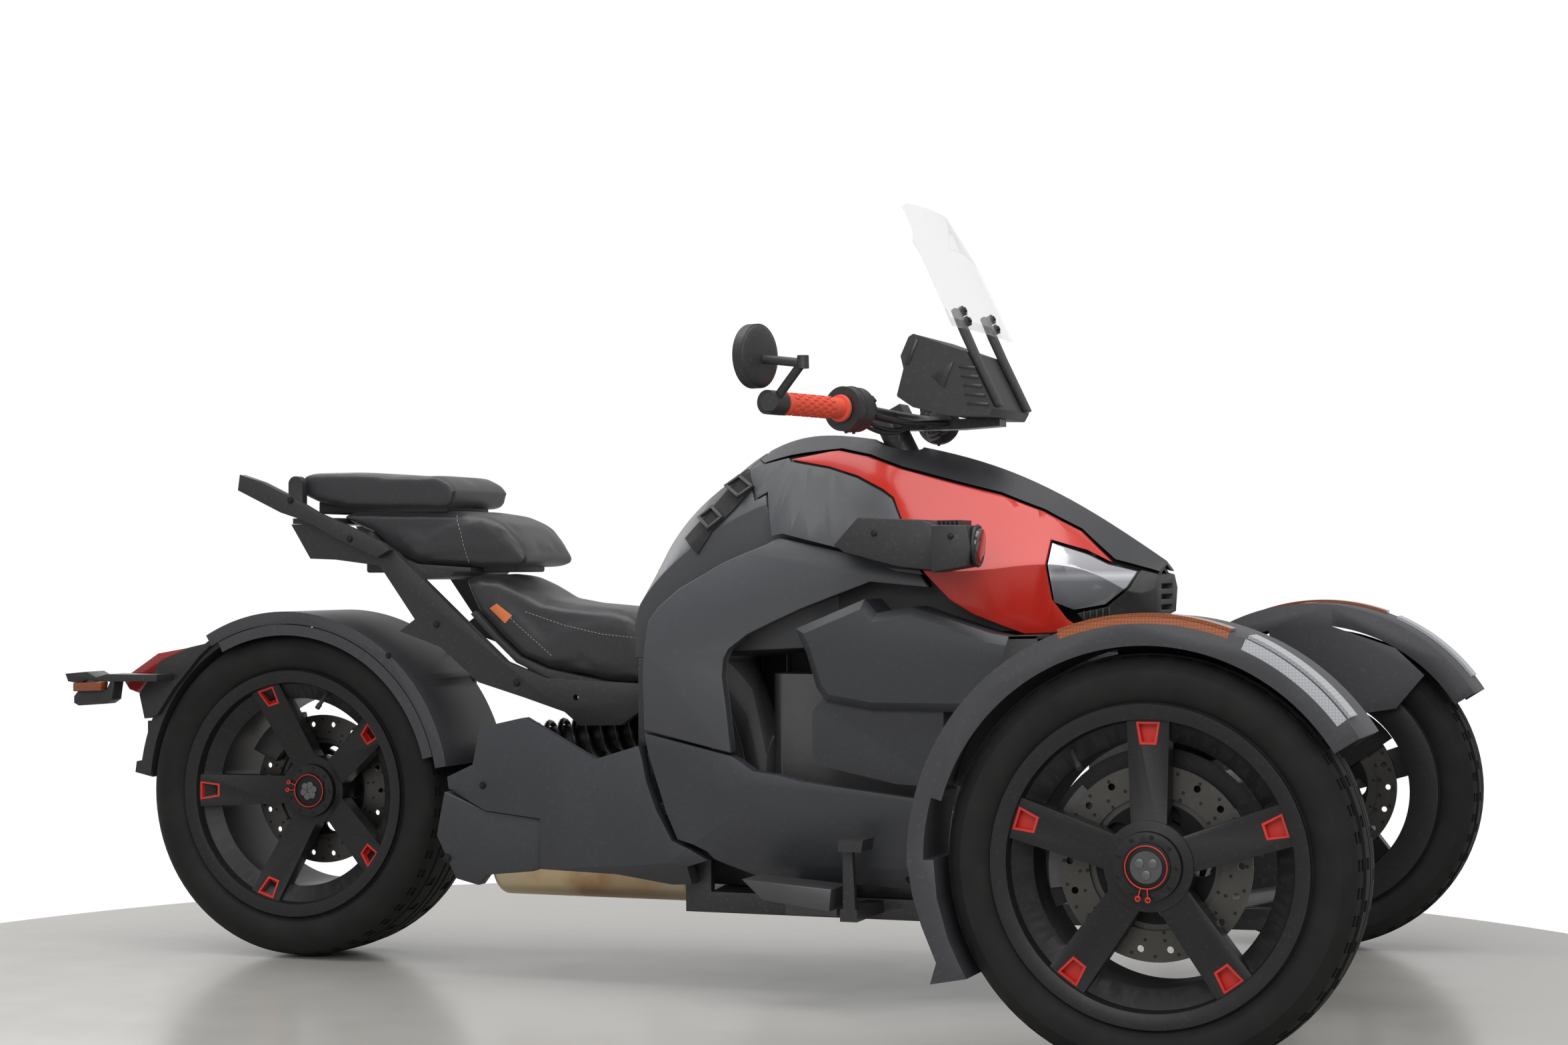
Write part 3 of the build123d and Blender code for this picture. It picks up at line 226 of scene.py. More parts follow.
looks = {
    "sidePanel": {
        "colour": (0.046, 0.048, 0.054), "second": (0.055, 0.057, 0.064), "rough": 0.4, "grain": 1400,
        "bump": 0.22, "dust": 0.03,
    },
    # painted shade: a darker copy of sidePanel for the low covers, sills and muffler shield, standing in for
    # the shade low on the body
    "shadedLowPanel": {
        "colour": (0.03, 0.032, 0.037), "second": (0.036, 0.038, 0.044), "rough": 0.4, "grain": 1400,
        "bump": 0.22, "dust": 0.04,
    },
    "hoodPlastic": {
        "colour": (0.03, 0.031, 0.035), "second": (0.037, 0.038, 0.043), "rough": 0.36, "grain": 1600,
        "bump": 0.12, "dust": 0.02,
    },
    "fenderPlastic": {
        "colour": (0.036, 0.037, 0.042), "second": (0.043, 0.044, 0.05), "rough": 0.42, "grain": 1300,
        "bump": 0.25, "dust": 0.05,
    },
    "redPaint": {
        "colour": (0.5, 0.018, 0.009), "second": (0.54, 0.021, 0.011), "rough": 0.26, "spread": 0.05,
        "grain": 500, "bump": 0.02, "dust": 0.01, "plain": {"Coat Weight": 0.25, "Coat Roughness": 0.1},
    },
    "blackPlastic": {
        "colour": (0.018, 0.018, 0.02), "second": (0.026, 0.026, 0.028), "rough": 0.45, "grain": 1100,
        "bump": 0.3, "dust": 0.05,
    },
    "framePaint": {
        "colour": (0.016, 0.016, 0.017), "second": (0.022, 0.022, 0.024), "rough": 0.38, "grain": 700,
        "bump": 0.2, "dust": 0.08, "plain": {"Coat Weight": 0.2},
    },
    "castAlloy": {
        "colour": (0.085, 0.086, 0.09), "second": (0.12, 0.12, 0.125), "rough": 0.42, "grain": 600,
        "depth": 0.8, "bump": 0.5, "plain": {"Metallic": 0.8},
    },
    "darkAlloy": {
        "colour": (0.035, 0.035, 0.038), "second": (0.05, 0.05, 0.054), "rough": 0.4, "grain": 700,
        "bump": 0.35, "plain": {"Metallic": 0.6},
    },
    "rimPaint": {
        "colour": (0.009, 0.009, 0.0095), "second": (0.012, 0.012, 0.013), "rough": 0.36, "grain": 1500,
        "bump": 0.14, "dust": 0.03, "plain": {"Specular IOR Level": 0.36},
    },
    "springBlack": {
        "colour": (0.014, 0.014, 0.015), "rough": 0.3, "grain": 500, "bump": 0.1,
        "plain": {"Coat Weight": 0.3},
    },
    "hubBlack": {
        "colour": (0.005, 0.005, 0.0055), "rough": 0.42, "grain": 1100, "bump": 0.2, "dust": 0.02,
        "plain": {"Specular IOR Level": 0.3},
    },
    "axleSteel": {
        "colour": (0.13, 0.13, 0.135), "second": (0.19, 0.19, 0.195), "rough": 0.3, "grain": 900,
        "bump": 0.25, "plain": {"Metallic": 0.9},
    },
    # black bolts; the same finish gives the painted shade of the dots that stand in for holes in the discs
    "blackBoltAndHoleShade": {
        "colour": (0.02, 0.02, 0.022), "rough": 0.35, "grain": 900, "bump": 0.2, "plain": {"Metallic": 0.7},
    },
    "insertRed": {"colour": (0.5, 0.02, 0.013), "rough": 0.4, "grain": 900, "bump": 0.15, "dust": 0.02},
    "gripRed": {
        "colour": (0.66, 0.07, 0.035), "second": (0.72, 0.09, 0.045), "rough": 0.62, "grain": 700,
        "bump": 0.35, "dust": 0.02,
    },
    "softRubber": {
        "colour": (0.016, 0.016, 0.016), "second": (0.024, 0.024, 0.024), "rough": 0.68, "grain": 600,
        "bump": 0.3, "dust": 0.08,
    },
    "tagOrange": {
        "colour": (0.62, 0.16, 0.05), "second": (0.7, 0.2, 0.07), "rough": 0.7, "grain": 1500, "bump": 0.5,
    },
    "threadGrey": {
        "colour": (0.2, 0.2, 0.2), "second": (0.3, 0.3, 0.3), "rough": 0.8, "grain": 2500, "bump": 0.6,
        "rise": 0.0002,
    },
    "cableBlack": {"colour": (0.015, 0.015, 0.016), "rough": 0.5, "grain": 900, "bump": 0.2},
    "mirrorGlass": {
        "colour": (0.75, 0.77, 0.8), "second": (0.78, 0.8, 0.82), "rough": 0.02, "spread": 0.02,
        "bump": 0.0, "dust": 0.0, "plain": {"Metallic": 1.0},
    },
    "gaugeGlass": {
        "colour": (0.01, 0.011, 0.013), "rough": 0.06, "spread": 0.04, "bump": 0.0, "dust": 0.01,
        "plain": {"Coat Weight": 0.7},
    },
    "clearScreen": {
        "colour": (0.98, 0.99, 1.0), "second": (0.98, 0.99, 1.0), "rough": 0.01, "spread": 0.03,
        "grain": 300, "bump": 0.02, "dust": 0.0,
        "plain": {"Transmission Weight": 1.0, "IOR": 1.45, "Alpha": 0.22},
    },
}
finishes = {name: finishOf(name, look) for name, look in looks.items()}


def patterned(name, look, build):
    # a finish whose colour or bump is changed by a pattern of its own
    finishes[name] = finishOf(name, look)
    tree = finishes[name].node_tree
    build(tree, tree.nodes["Principled BSDF"])


def fedBy(shader, slot):
    return shader.inputs[slot].links[0].from_socket


def leatherPattern(tree, shader):
    # slightly warped cells on top of the grain; 4, 5 and 1 are the Mix node's vector sockets
    warp = addNode(tree, "TexNoise", {"Vector": placeOf(tree), "Scale": 60.0})
    warped = {0: 0.02, 4: placeOf(tree), 5: warp.outputs["Color"]}
    mixed = addNode(tree, "Mix", warped, data_type="VECTOR").outputs[1]
    cells = addNode(tree, "TexVoronoi", {"Vector": mixed, "Scale": 420.0}, feature="DISTANCE_TO_EDGE")
    creases = {
        "Strength": 0.4, "Distance": 0.0005, "Height": cells.outputs["Distance"],
        "Normal": fedBy(shader, "Normal"),
    }
    feed(tree, shader, {"Normal": addNode(tree, "Bump", creases).outputs["Normal"]})


patterned(
    "seatVinyl",
    {
        "colour": (0.02, 0.02, 0.023), "second": (0.027, 0.027, 0.03), "rough": 0.3, "spread": 0.14,
        "grain": 900, "bump": 0.15, "dust": 0.04, "plain": {"Sheen Weight": 0.1},
    },
    leatherPattern,
)


def tyrePattern(tree, shader):
    # dry dust in soft clouds
    stops = [(0.4, (0.005, 0.005, 0.005)), (0.75, (0.01, 0.01, 0.0097))]
    feed(tree, shader, {"Base Color": rampOf(tree, noiseOf(tree, 24.0, 6.0), stops)})


patterned(
    "tyreRubber",
    {
        "colour": (0.008, 0.008, 0.008), "rough": 0.62, "spread": 0.2, "grain": 800, "bump": 0.3,
        "dust": 0.1, "plain": {"Specular IOR Level": 0.35},
    },
    tyrePattern,
)

heatLook = {"from": -1.2, "to": -0.65, "wander": 0.3}
heatBands = [
    (0.0, (0.62, 0.54, 0.4)), (0.3, (0.66, 0.52, 0.32)), (0.5, (0.42, 0.26, 0.14)), (0.7, (0.5, 0.4, 0.27)),
    (1.0, (0.66, 0.58, 0.44)),
]


def heatPattern(tree, shader):
    # straw and bronze bands along the pipe
    along = addNode(tree, "SeparateXYZ", {"Vector": placeOf(tree)}).outputs["X"]
    wandering = maths(tree, "MULTIPLY_ADD", noiseOf(tree, 12.0, 5.0), heatLook["wander"], along)
    reach = rangeOf(tree, wandering, axleX + heatLook["from"], axleX + heatLook["to"])
    feed(tree, shader, {"Base Color": rampOf(tree, reach, heatBands)})


patterned(
    "hotSteel",
    {"colour": (0.4, 0.32, 0.2), "rough": 0.3, "grain": 400, "bump": 0.3, "plain": {"Metallic": 0.95}},
    heatPattern,
)


def discPattern(centre, radius):
    def build(tree, shader):
        # fine turned scratches on the ring, and a black carrier inside it
        scratches = rangeOf(tree, noiseOf(tree, 260.0, 8.0), 0.0, 1.0, 0.3, 0.5)
        carrier = bandOf(tree, centre, (0.0, radius * 0.62))
        colour = mixColour(tree, carrier, fedBy(shader, "Base Color"), (0.012, 0.012, 0.013))
        feed(tree, shader, {"Roughness": scratches, "Base Color": colour})
    return build


discLook = {
    "colour": (0.06, 0.058, 0.053), "second": (0.095, 0.092, 0.085), "rough": 0.35, "grain": 700,
    "bump": 0.15, "plain": {"Metallic": 0.8},
}
for name, node, centre in (
    ("frontDisc", "disc_front_right", (axleX, axleZ)), ("rearDisc", "disc_rear", (rearX, rearZ)),
):
    low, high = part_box(node)
    patterned(name, discLook, discPattern(centre, (high.z - low.z) / 2))

# lens colours from painted glint in the middle of a prism to painted shade at its edge
lensGlintTones = {
    "amber": ((0.42, 0.1, 0.006), (0.17, 0.032, 0.002)), "clear": ((0.55, 0.57, 0.59), (0.3, 0.31, 0.33)),
    "red": ((0.5, 0.024, 0.016), (0.2, 0.006, 0.005)),
}


def prismGlintTone(tree, scale, tone):
    # small moulded prisms: their colour, painted lighter in the middle and darker at the edge of each as
    # glint and shade, and their height
    given = {"Vector": placeOf(tree), "Scale": scale, "Randomness": 0.0}
    distance = addNode(tree, "TexVoronoi", given).outputs["Distance"]
    light, dark = lensGlintTones[tone]
    return rampOf(tree, distance, [(0.0, light), (0.7, dark)]), distance


def prismGlintPattern(scale, tone, strength):
    def build(tree, shader):
        colour, height = prismGlintTone(tree, scale, tone)
        feed(tree, shader, {"Base Color": colour})
        feed(tree, fedBy(shader, "Normal").node, {"Strength": strength, "Height": height})
    return build


patterned(
    "amberLens",
    {"colour": (0.5, 0.15, 0.02), "rough": 0.18, "bump": 0.3, "rise": 0.0006, "plain": {"Coat Weight": 0.7}},
    prismGlintPattern(210.0, "amber", 0.35),
)
patterned(
    "tailLens",
    {"colour": (0.5, 0.02, 0.014), "rough": 0.14, "bump": 0.3, "rise": 0.0006, "plain": {"Coat Weight": 0.8}},
    prismGlintPattern(180.0, "red", 0.3),
)

fenderLook = {
    "edge": 0.3385, "amberDeep": 0.0095, "amber": (70, 111), "clearDeep": 0.016, "clear": (37, 66),
    "outer": 0.7565,
}


def fenderGlintTones(tree):
    # the amber and clear prism colours, with painted glint and shade
    return prismGlintTone(tree, 210.0, "amber")[0], prismGlintTone(tree, 230.0, "clear")[0]


def fenderLensPattern(tree, shader):
    # amber behind, clear ahead
    amber, clear = fenderGlintTones(tree)
    front = bandOf(tree, (axleX, axleZ), (0.2, 0.5), (20, 68))
    feed(tree, shader, {"Base Color": mixColour(tree, front, amber, clear)})


def fenderPattern(tree, shader):
    # the lenses wrap a little way over the outer edge of the fender
    colour = fedBy(shader, "Base Color")
    for tone, part in zip(fenderGlintTones(tree), ("amber", "clear")):
        radii = (fenderLook["edge"] - fenderLook[part + "Deep"], 0.5)
        band = bandOf(tree, (axleX, axleZ), radii, fenderLook[part], fenderLook["outer"])
        colour = mixColour(tree, band, colour, tone)
    feed(tree, shader, {"Base Color": colour})


patterned(
    "fenderLens", {"colour": (0.5, 0.15, 0.02), "rough": 0.16, "bump": 0.2, "plain": {"Coat Weight": 0.7}},
    fenderLensPattern,
)
patterned("frontFender", looks["fenderPlastic"], fenderPattern)

lampReflectionTones = [
    (0.0, (0.16, 0.165, 0.175)), (0.42, (0.3, 0.31, 0.33)), (0.52, (0.62, 0.63, 0.66)),
    (0.6, (0.34, 0.34, 0.37)), (1.0, (0.5, 0.5, 0.53)),
]


def lampReflectionPattern(tree, shader):
    # painted reflection: bands of light and dark by height, with a bright band just below the middle, stand
    # in for the ribs of the reflector behind a pale lens
    height = addNode(tree, "SeparateXYZ", {"Vector": placeOf(tree)}).outputs["Z"]
    feed(tree, shader, {"Base Color": rampOf(tree, rangeOf(tree, height, 0.63, 0.73), lampReflectionTones)})


patterned(
    "lampLens",
    {
        "colour": (0.45, 0.46, 0.48), "rough": 0.14, "spread": 0.06, "grain": 120, "bump": 0.05,
        "dust": 0.0, "plain": {"Coat Weight": 1.0, "Coat Roughness": 0.03, "Metallic": 0.35},
    },
    lampReflectionPattern,
)


def weavePattern(tree, shader):
    # a diagonal webbing weave
    lay = addNode(tree, "Mapping", {"Vector": placeOf(tree), "Rotation": (0.6, 0.2, 0.78)}).outputs["Vector"]
    wave = addNode(tree, "TexWave", {"Vector": lay, "Scale": 190.0, "Distortion": 0.6}).outputs["Fac"]
    feed(tree, fedBy(shader, "Normal").node, {"Height": wave})


patterned(
    "strapWebbing", {"colour": (0.012, 0.012, 0.013), "rough": 0.8, "bump": 0.7, "rise": 0.0006},
    weavePattern,
)
print("finishes made")

# the nodes that show as they are
nodeFinishes = {
    "framePaint": ("control_arms", "brake_pedal", "handlebar", "tie_rods"),
    "castAlloy": ("knuckle_right", "knuckle_left"),
    "blackPlastic": ("inner_cowl", "controls", "mirrors"),
    "darkAlloy": ("dampers", "rear_damper"),
    "hotSteel": ("muffler",),
    "gripRed": ("grips",),
    "fenderLens": ("fender_lens_right", "fender_lens_left"),
    "frontDisc": ("disc_front_right", "disc_front_left"),
    "rearDisc": ("disc_rear",),
}
for finish, names in nodeFinishes.items():
    for name in names:
        nodes[name].data.materials.clear()
        nodes[name].data.materials.append(finishes[finish])
print("frame nodes dressed")


# helpers that turn a bmesh into a finished piece
def onlyVerts(geom):
    return [v for v in geom if isinstance(v, bmesh.types.BMVert)]


def onlyFaces(geom):
    return [f for f in geom if isinstance(f, bmesh.types.BMFace)]


def addObject(name, data):
    made = bpy.data.objects.new(name, data)
    scene.collection.objects.link(made)
    return made


def meshOf(name, bm):
    mesh = bpy.data.meshes.new(name)
    bm.to_mesh(mesh)
    bm.free()
    return mesh


def mergedCopy(node, dist):
    # a frame node's triangles with their doubles merged
    bm = bmesh.new()
    bm.from_mesh(nodes[node].data)
    bmesh.ops.remove_doubles(bm, verts=bm.verts, dist=dist)
    return bm


def softenEdges(bm, width, degrees, shortest=0.0, clamp=False):
    # bevels the edges that are sharper than an angle
    edges = [e for e in bm.edges if len(e.link_faces) == 2 and e.calc_length() >= shortest]
    edges = [e for e in edges if e.calc_face_angle(0) > math.radians(degrees)]
    bmesh.ops.bevel(
        bm, geom=edges, offset=width, segments=2, profile=0.5, affect="EDGES", material=-1,
        clamp_overlap=clamp,
    )


def finishPiece(name, bm, finish, body, sharp=32, bevel=0.0, both=False):
    # both adds the same shape on the other side of the middle plane
    if both:
        copied = bmesh.ops.duplicate(bm, geom=bm.verts[:] + bm.edges[:] + bm.faces[:])["geom"]
        bmesh.ops.scale(bm, vec=(1, -1, 1), verts=onlyVerts(copied))
        bmesh.ops.reverse_faces(bm, faces=onlyFaces(copied))
    if bevel:
        softenEdges(bm, bevel, 30)
    mesh = meshOf(name, bm)
    mesh.polygons.foreach_set("use_smooth", [True] * len(mesh.polygons))
    mesh.set_sharp_from_angle(angle=math.radians(sharp))
    mesh.materials.append(finishes[finish])
    piece = addObject(name, mesh)
    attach(piece, body)
    return piece


def addSlab(bm, outline, near, far):
    # a side view outline in millimetres between two distances from the middle plane
    ring = [bm.verts.new(at(x, near, z)) for x, z in outline]
    face = bm.faces.new(ring)
    moved = onlyVerts(bmesh.ops.extrude_face_region(bm, geom=[face], use_keep_orig=True)["geom"])
    bmesh.ops.translate(bm, vec=(0, (far - near) / 1000, 0), verts=moved)
    bmesh.ops.recalc_face_normals(bm, faces=list({f for v in ring + moved for f in v.link_faces}))


def turnTo(axis):
    # turns local Z onto an axis
    return axis.to_track_quat("Z", "Y").to_matrix().to_4x4()


def axesAt(place, x, y, z):
    return Matrix.Translation(place) @ Matrix((x, y, z)).transposed().to_4x4()


def addBlock(bm, size, matrix):
    made = bmesh.ops.create_cube(bm, size=1)["verts"]
    bmesh.ops.scale(bm, vec=size, verts=made)
    bmesh.ops.transform(bm, matrix=matrix, verts=made)


def addRod(bm, start, end, radius, endRadius=None, segments=24):
    along = end - start
    made = bmesh.ops.create_cone(
        bm, cap_ends=True, cap_tris=False, segments=segments, depth=along.length,
        radius1=radius, radius2=radius if endRadius is None else endRadius,
    )["verts"]
    bmesh.ops.transform(bm, matrix=Matrix.Translation((start + end) / 2) @ turnTo(along), verts=made)


def wireSection(bm, radius, thick, sides):
    # the round section of a ring or a coil, ready to spin about Z
    made = bmesh.ops.create_circle(bm, segments=sides, radius=thick)["verts"]
    bmesh.ops.rotate(bm, cent=(0, 0, 0), matrix=Matrix.Rotation(math.pi / 2, 3, "X"), verts=made)
    bmesh.ops.translate(bm, vec=(radius, 0, 0), verts=made)
    return made + list({e for v in made for e in v.link_edges})


def addRing(bm, centre, axis, radius, thick, segments=48, sides=8):
    # a round wire ring about an axis
    known = set(bm.verts)
    section = wireSection(bm, radius, thick, sides)
    bmesh.ops.spin(
        bm, geom=section, cent=(0, 0, 0), axis=(0, 0, 1), angle=2 * math.pi, steps=segments, use_merge=True,
    )
    ring = [v for v in bm.verts if v not in known]
    bmesh.ops.recalc_face_normals(bm, faces=list({f for v in ring for f in v.link_faces}))
    bmesh.ops.transform(bm, matrix=Matrix.Translation(centre) @ turnTo(axis), verts=ring)


def addBolt(bm, place, axis, radius, tall):
    unit = axis.normalized()
    addRod(bm, place, place + unit * tall * 0.3, radius * 1.35, segments=20)
    addRod(bm, place + unit * tall * 0.25, place + unit * tall, radius, radius * 0.94, segments=6)


def addTube(bm, points, radius):
    # a smooth tube through its points, read from a curve
    data = bpy.data.curves.new("tubeLine", "CURVE")
    data.dimensions = "3D"
    data.bevel_depth = radius
    data.bevel_resolution = 2
    data.resolution_u = 6
    data.use_fill_caps = True
    line = data.splines.new("NURBS")
    line.points.add(len(points) - 1)
    for slot, place in zip(line.points, points):
        slot.co = (*place, 1)
    line.order_u = 3
    line.use_endpoint_u = True
    holder = bpy.data.objects.new("tubeLine", data)
    mesh = bpy.data.meshes.new_from_object(holder)
    bm.from_mesh(mesh)
    bpy.data.objects.remove(holder)
    bpy.data.curves.remove(data)
    bpy.data.meshes.remove(mesh)


def spotOf(centre, radius, degree):
    # a place of the side view about a centre, in millimetres
    angle = math.radians(degree)
    return centre[0] + radius * math.cos(angle), centre[1] + radius * math.sin(angle)


def arcOf(centre, radius, degrees):
    return [spotOf(centre, radius, d) for d in degrees]


def sectorOf(centre, look, steps):
    # the outline of a flat ring sector
    sweep = [look["start"] + i * (look["end"] - look["start"]) / steps for i in range(steps + 1)]
    return arcOf(centre, look["far"], sweep) + arcOf(centre, look["near"], sweep[::-1])


skins = {}


def castOn(name, start, along):
    # where a ray meets a frame node, and the way its surface faces there
    if name not in skins:
        mesh = nodes[name].data
        skins[name] = BVHTree.FromPolygons(
            [v.co for v in mesh.vertices], [p.vertices[:] for p in mesh.polygons],
        )
    place, normal, index, far = skins[name].ray_cast(start, along)
    return (place, normal) if place else None


# wheels
frontWheel = {"x": 0, "y": 680, "z": axleZ, "half": 70, "recess": 8, "first": 90, "radius": 290, "width": 147}
wheelSet = {
    "front_right": {**frontWheel, "side": -1},
    "front_left": {**frontWheel, "side": 1},
    "rear": {
        "x": rearCentre[0], "y": 0, "z": rearZ, "half": 97, "recess": 78, "first": 36,
        "radius": 295.5, "width": 208, "side": -1,
    },
}
treadLook = {"pitches": 96, "grooveDeep": 4.5, "sipeDeep": 3.0}


def wheelPlace(w):
    # the wheel's own frame: local Z points out of its outer face, X ahead and Y up
    centre = Vector((axleX + w["x"] / 1000, -w["y"] / 1000, w["z"]))
    right = Matrix.Translation(centre) @ Matrix.Rotation(math.pi / 2, 4, "X")
    return right if w["side"] < 0 else Matrix.Diagonal((1, -1, 1, 1)) @ right


def finishOnWheel(label, bm, finish, name, **rest):
    # carries a piece from the wheel's own frame to its place
    w = wheelSet[name]
    bmesh.ops.transform(bm, matrix=wheelPlace(w), verts=bm.verts)
    if w["side"] > 0:
        bmesh.ops.reverse_faces(bm, faces=bm.faces)
    return finishPiece(label + "_" + name, bm, finish, "wheel_" + name, **rest)


def makeTyre(name, w):
    half, radius, width = w["half"] - 8.4, w["radius"], w["width"] / 2
    groove, lane, pitches = treadLook["grooveDeep"], width * 0.52, treadLook["pitches"]
    wall = [
        (half, 205), (half, 222), (half + (width - half) * 0.62, 234), (width, 248), (width - 0.6, 262),
        (width - 5, radius - 22), (
            width - 8, radius - 17.5,
        ), (width - 14, radius - 10), (width - 22, radius - 6.4),
        (width - 34, radius - 4),
    ]
    tread = [
        (lane + 4, radius - 2.4), (lane + 3, radius - 2.4 - groove), (lane - 3, radius - 2.2 - groove),
        (lane - 4, radius - 2.0), (lane * 0.42, radius - 0.6), (lane * 0.3, radius - 0.5),
        (
            lane * 0.28, radius - 0.4 - groove,
        ), (lane * 0.16, radius - 0.3 - groove), (lane * 0.14, radius - 0.2),
    ]
    halfProfile = wall + tread
    profile = halfProfile + [(-z, r) for z, r in reversed(halfProfile)]
    profile += [(-half + 6, 202), (half - 6, 202)]
    bm = bmesh.new()
    ring = [bm.verts.new((r / 1000, 0, z / 1000)) for z, r in profile]
    edges = [bm.edges.new((ring[i], ring[(i + 1) % len(ring)])) for i in range(len(ring))]
    bmesh.ops.spin(
        bm, geom=ring + edges, cent=(0, 0, 0), axis=(0, 0, 1), angle=2 * math.pi,
        steps=pitches, use_merge=True,
    )
    bmesh.ops.remove_doubles(bm, verts=bm.verts, dist=1e-6)
    bmesh.ops.recalc_face_normals(bm, faces=bm.faces)
    if bm.calc_volume(signed=True) < 0:
        bmesh.ops.reverse_faces(bm, faces=bm.faces)
    chosen = []
    for face in bm.faces:
        c = face.calc_center_median()
        step = int((math.atan2(c.y, c.x) % (2 * math.pi)) / (2 * math.pi) * pitches)
        r, z = math.hypot(c.x, c.y) * 1000, c.z * 1000
        shoulder = radius - 12 < r < radius - 4.4 and abs(z) > width - 30
        block = r > radius - 2.3 and lane * 0.45 < abs(z) < lane - 4 and face.normal.to_2d().length > 0.7
        cutShoulder = shoulder and step % 2 == (0 if z > 0 else 1)
        cutBlock = block and step % 3 == (0 if z > 0 else 2)
        if cutShoulder or cutBlock:
            chosen.append(face)
    bmesh.ops.inset_individual(bm, faces=chosen, thickness=0.0022, depth=0.0)
    bmesh.ops.inset_individual(bm, faces=chosen, thickness=0.0006, depth=-treadLook["sipeDeep"] / 1000)
    piece = finishOnWheel("tyreTread", bm, "tyreRubber", name, sharp=28)
    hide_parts("tyre_" + name)


insertLook = {
    "innerRadius": 164.5, "outerRadius": 195.5, "innerWidth": 23, "outerWidth": 33, "beside": (2.5, 5),
    "wall": 4.4, "proud": 0.7, "reach": 19, "floorDeep": 13, "floorThick": 1,
}


def spokeHeight(name, w, spot):
    # the outer surface of the rim at a place of the wheel's own frame, in metres
    place = wheelPlace(w)
    axis = (place.to_3x3() @ upward).normalized()
    found = castOn("rim_" + name, place @ Vector((spot.x, spot.y, 0.25)), -axis)
    return (place.inverted() @ found[0]).z if found else 0.0


def extruded(bm, faces, drop):
    # a copy of some faces, joined by walls and lowered
    made = onlyVerts(bmesh.ops.extrude_face_region(bm, geom=faces, use_keep_orig=True)["geom"])
    bmesh.ops.translate(bm, vec=(0, 0, -drop / 1000), verts=made)


def makeInserts(name, w):
    # a red trapezoid frame with a floor in the window of each spoke
    look = insertLook
    ends = (
        (look["innerRadius"], look["innerWidth"] / 2, (-1, 1)),
        (look["outerRadius"], look["outerWidth"] / 2, (1, -1)),
    )
    bm = bmesh.new()
    for i in range(5):
        turn = Matrix.Rotation(math.radians(w["first"] + 72 * i), 3, "Z")
        known = set(bm.verts)
        corners = []
        for r, half, sides in ends:
            widths = [side * (half + beside) for beside in look["beside"] for side in sides]
            heights = [spokeHeight(name, w, turn @ Vector((r / 1000, y / 1000, 0))) for y in widths]
            top = max(heights) + look["proud"] / 1000
            corners += [bm.verts.new((r / 1000, side * half / 1000, top)) for side in sides]
        plate = bm.faces.new(corners)
        plate.normal_update()
        walls = bmesh.ops.inset_individual(bm, faces=[plate], thickness=look["wall"] / 1000)["faces"]
        sunk = bmesh.ops.duplicate(bm, geom=[plate])["geom"]
        bmesh.ops.translate(bm, vec=(0, 0, -look["floorDeep"] / 1000), verts=onlyVerts(sunk))
        extruded(bm, onlyFaces(sunk), look["floorThick"])
        bmesh.ops.delete(bm, geom=[plate], context="FACES_ONLY")
        extruded(bm, walls, look["reach"])
        bmesh.ops.rotate(bm, cent=(0, 0, 0), matrix=turn, verts=[v for v in bm.verts if v not in known])
    bmesh.ops.recalc_face_normals(bm, faces=bm.faces)
    finishOnWheel("spokeInserts", bm, "insertRed", name, sharp=30)


hubLook = {
    "cap": 0.0485, "nut": 0.034, "studs": 9, "studRing": 0.041, "clipRing": 0.029, "wire": 0.00095,
    "centre": 0.017,
}


def polar(radius, angle, height):
    # a place of the wheel's own frame, its height in millimetres
    return Vector((math.cos(angle) * radius, math.sin(angle) * radius, height / 1000))


def addPost(bm, radius, angle, low, high, thick, tip=None, segments=24):
    addRod(bm, polar(radius, angle, low), polar(radius, angle, high), thick, tip, segments)


def makeHub(name, w):
    look = hubLook
    top = w["half"] - w["recess"] + 6
    sides, lobes, clipTurn = (6, 6, 170) if name == "rear" else (40, 3, -96)
    bm = bmesh.new()
    addPost(bm, 0, 0, top - 9, top + 2, look["cap"], look["cap"] - 0.002, 48)
    addPost(bm, 0, 0, top, top + 7, look["nut"], look["nut"] - 0.001, sides)
    for i in range(look["studs"]):
        addPost(bm, look["studRing"], 2 * math.pi * i / look["studs"], top, top + 4.5, 0.0042, 0.0036, 12)
    finishOnWheel("hubCap", bm, "hubBlack", name, bevel=0.0008)
    bm = bmesh.new()
    addRing(bm, polar(0, 0, top + 8.5), upward, look["clipRing"], look["wire"], 56)
    for swing in (-0.16, 0.16):
        angle = math.radians(clipTurn) + swing
        near, far = polar(0.028, angle, top + 8.5), polar(0.044, angle, top + 8.5)
        addRod(bm, near, far, look["wire"], segments=8)
        addRing(bm, far, upward, 0.0032, 0.0011, 16, 6)
    finishOnWheel("hubClip", bm, "insertRed", name)
    bm = bmesh.new()
    centre = look["centre"]
    addPost(bm, 0, 0, top + 5, top + 7.5, centre * 0.6, segments=40)
    for i in range(lobes):
        angle = 2 * math.pi * (i + 0.25) / lobes
        addPost(bm, centre * 0.62, angle, top + 5, top + 9.5, centre * 0.42, centre * 0.38)
    finishOnWheel("axleEnd", bm, "axleSteel", name, bevel=0.0006)
    bm = bmesh.new()
    angle = math.radians(w["first"] + 36)
    foot, tip = polar(0.19, angle, w["half"] - 30), polar(0.168, angle, w["half"] - 14)
    addRod(bm, foot, tip, 0.0045, 0.0036, 14)
    addRod(bm, tip, tip + (tip - foot).normalized() * 0.009, 0.0048, 0.0046, 14)
    finishOnWheel("valveStem", bm, "softRubber", name)


shadeShieldLook = {"near": 62, "far": 158, "start": 35, "end": 205, "gap": 0.007, "thick": 0.0016}


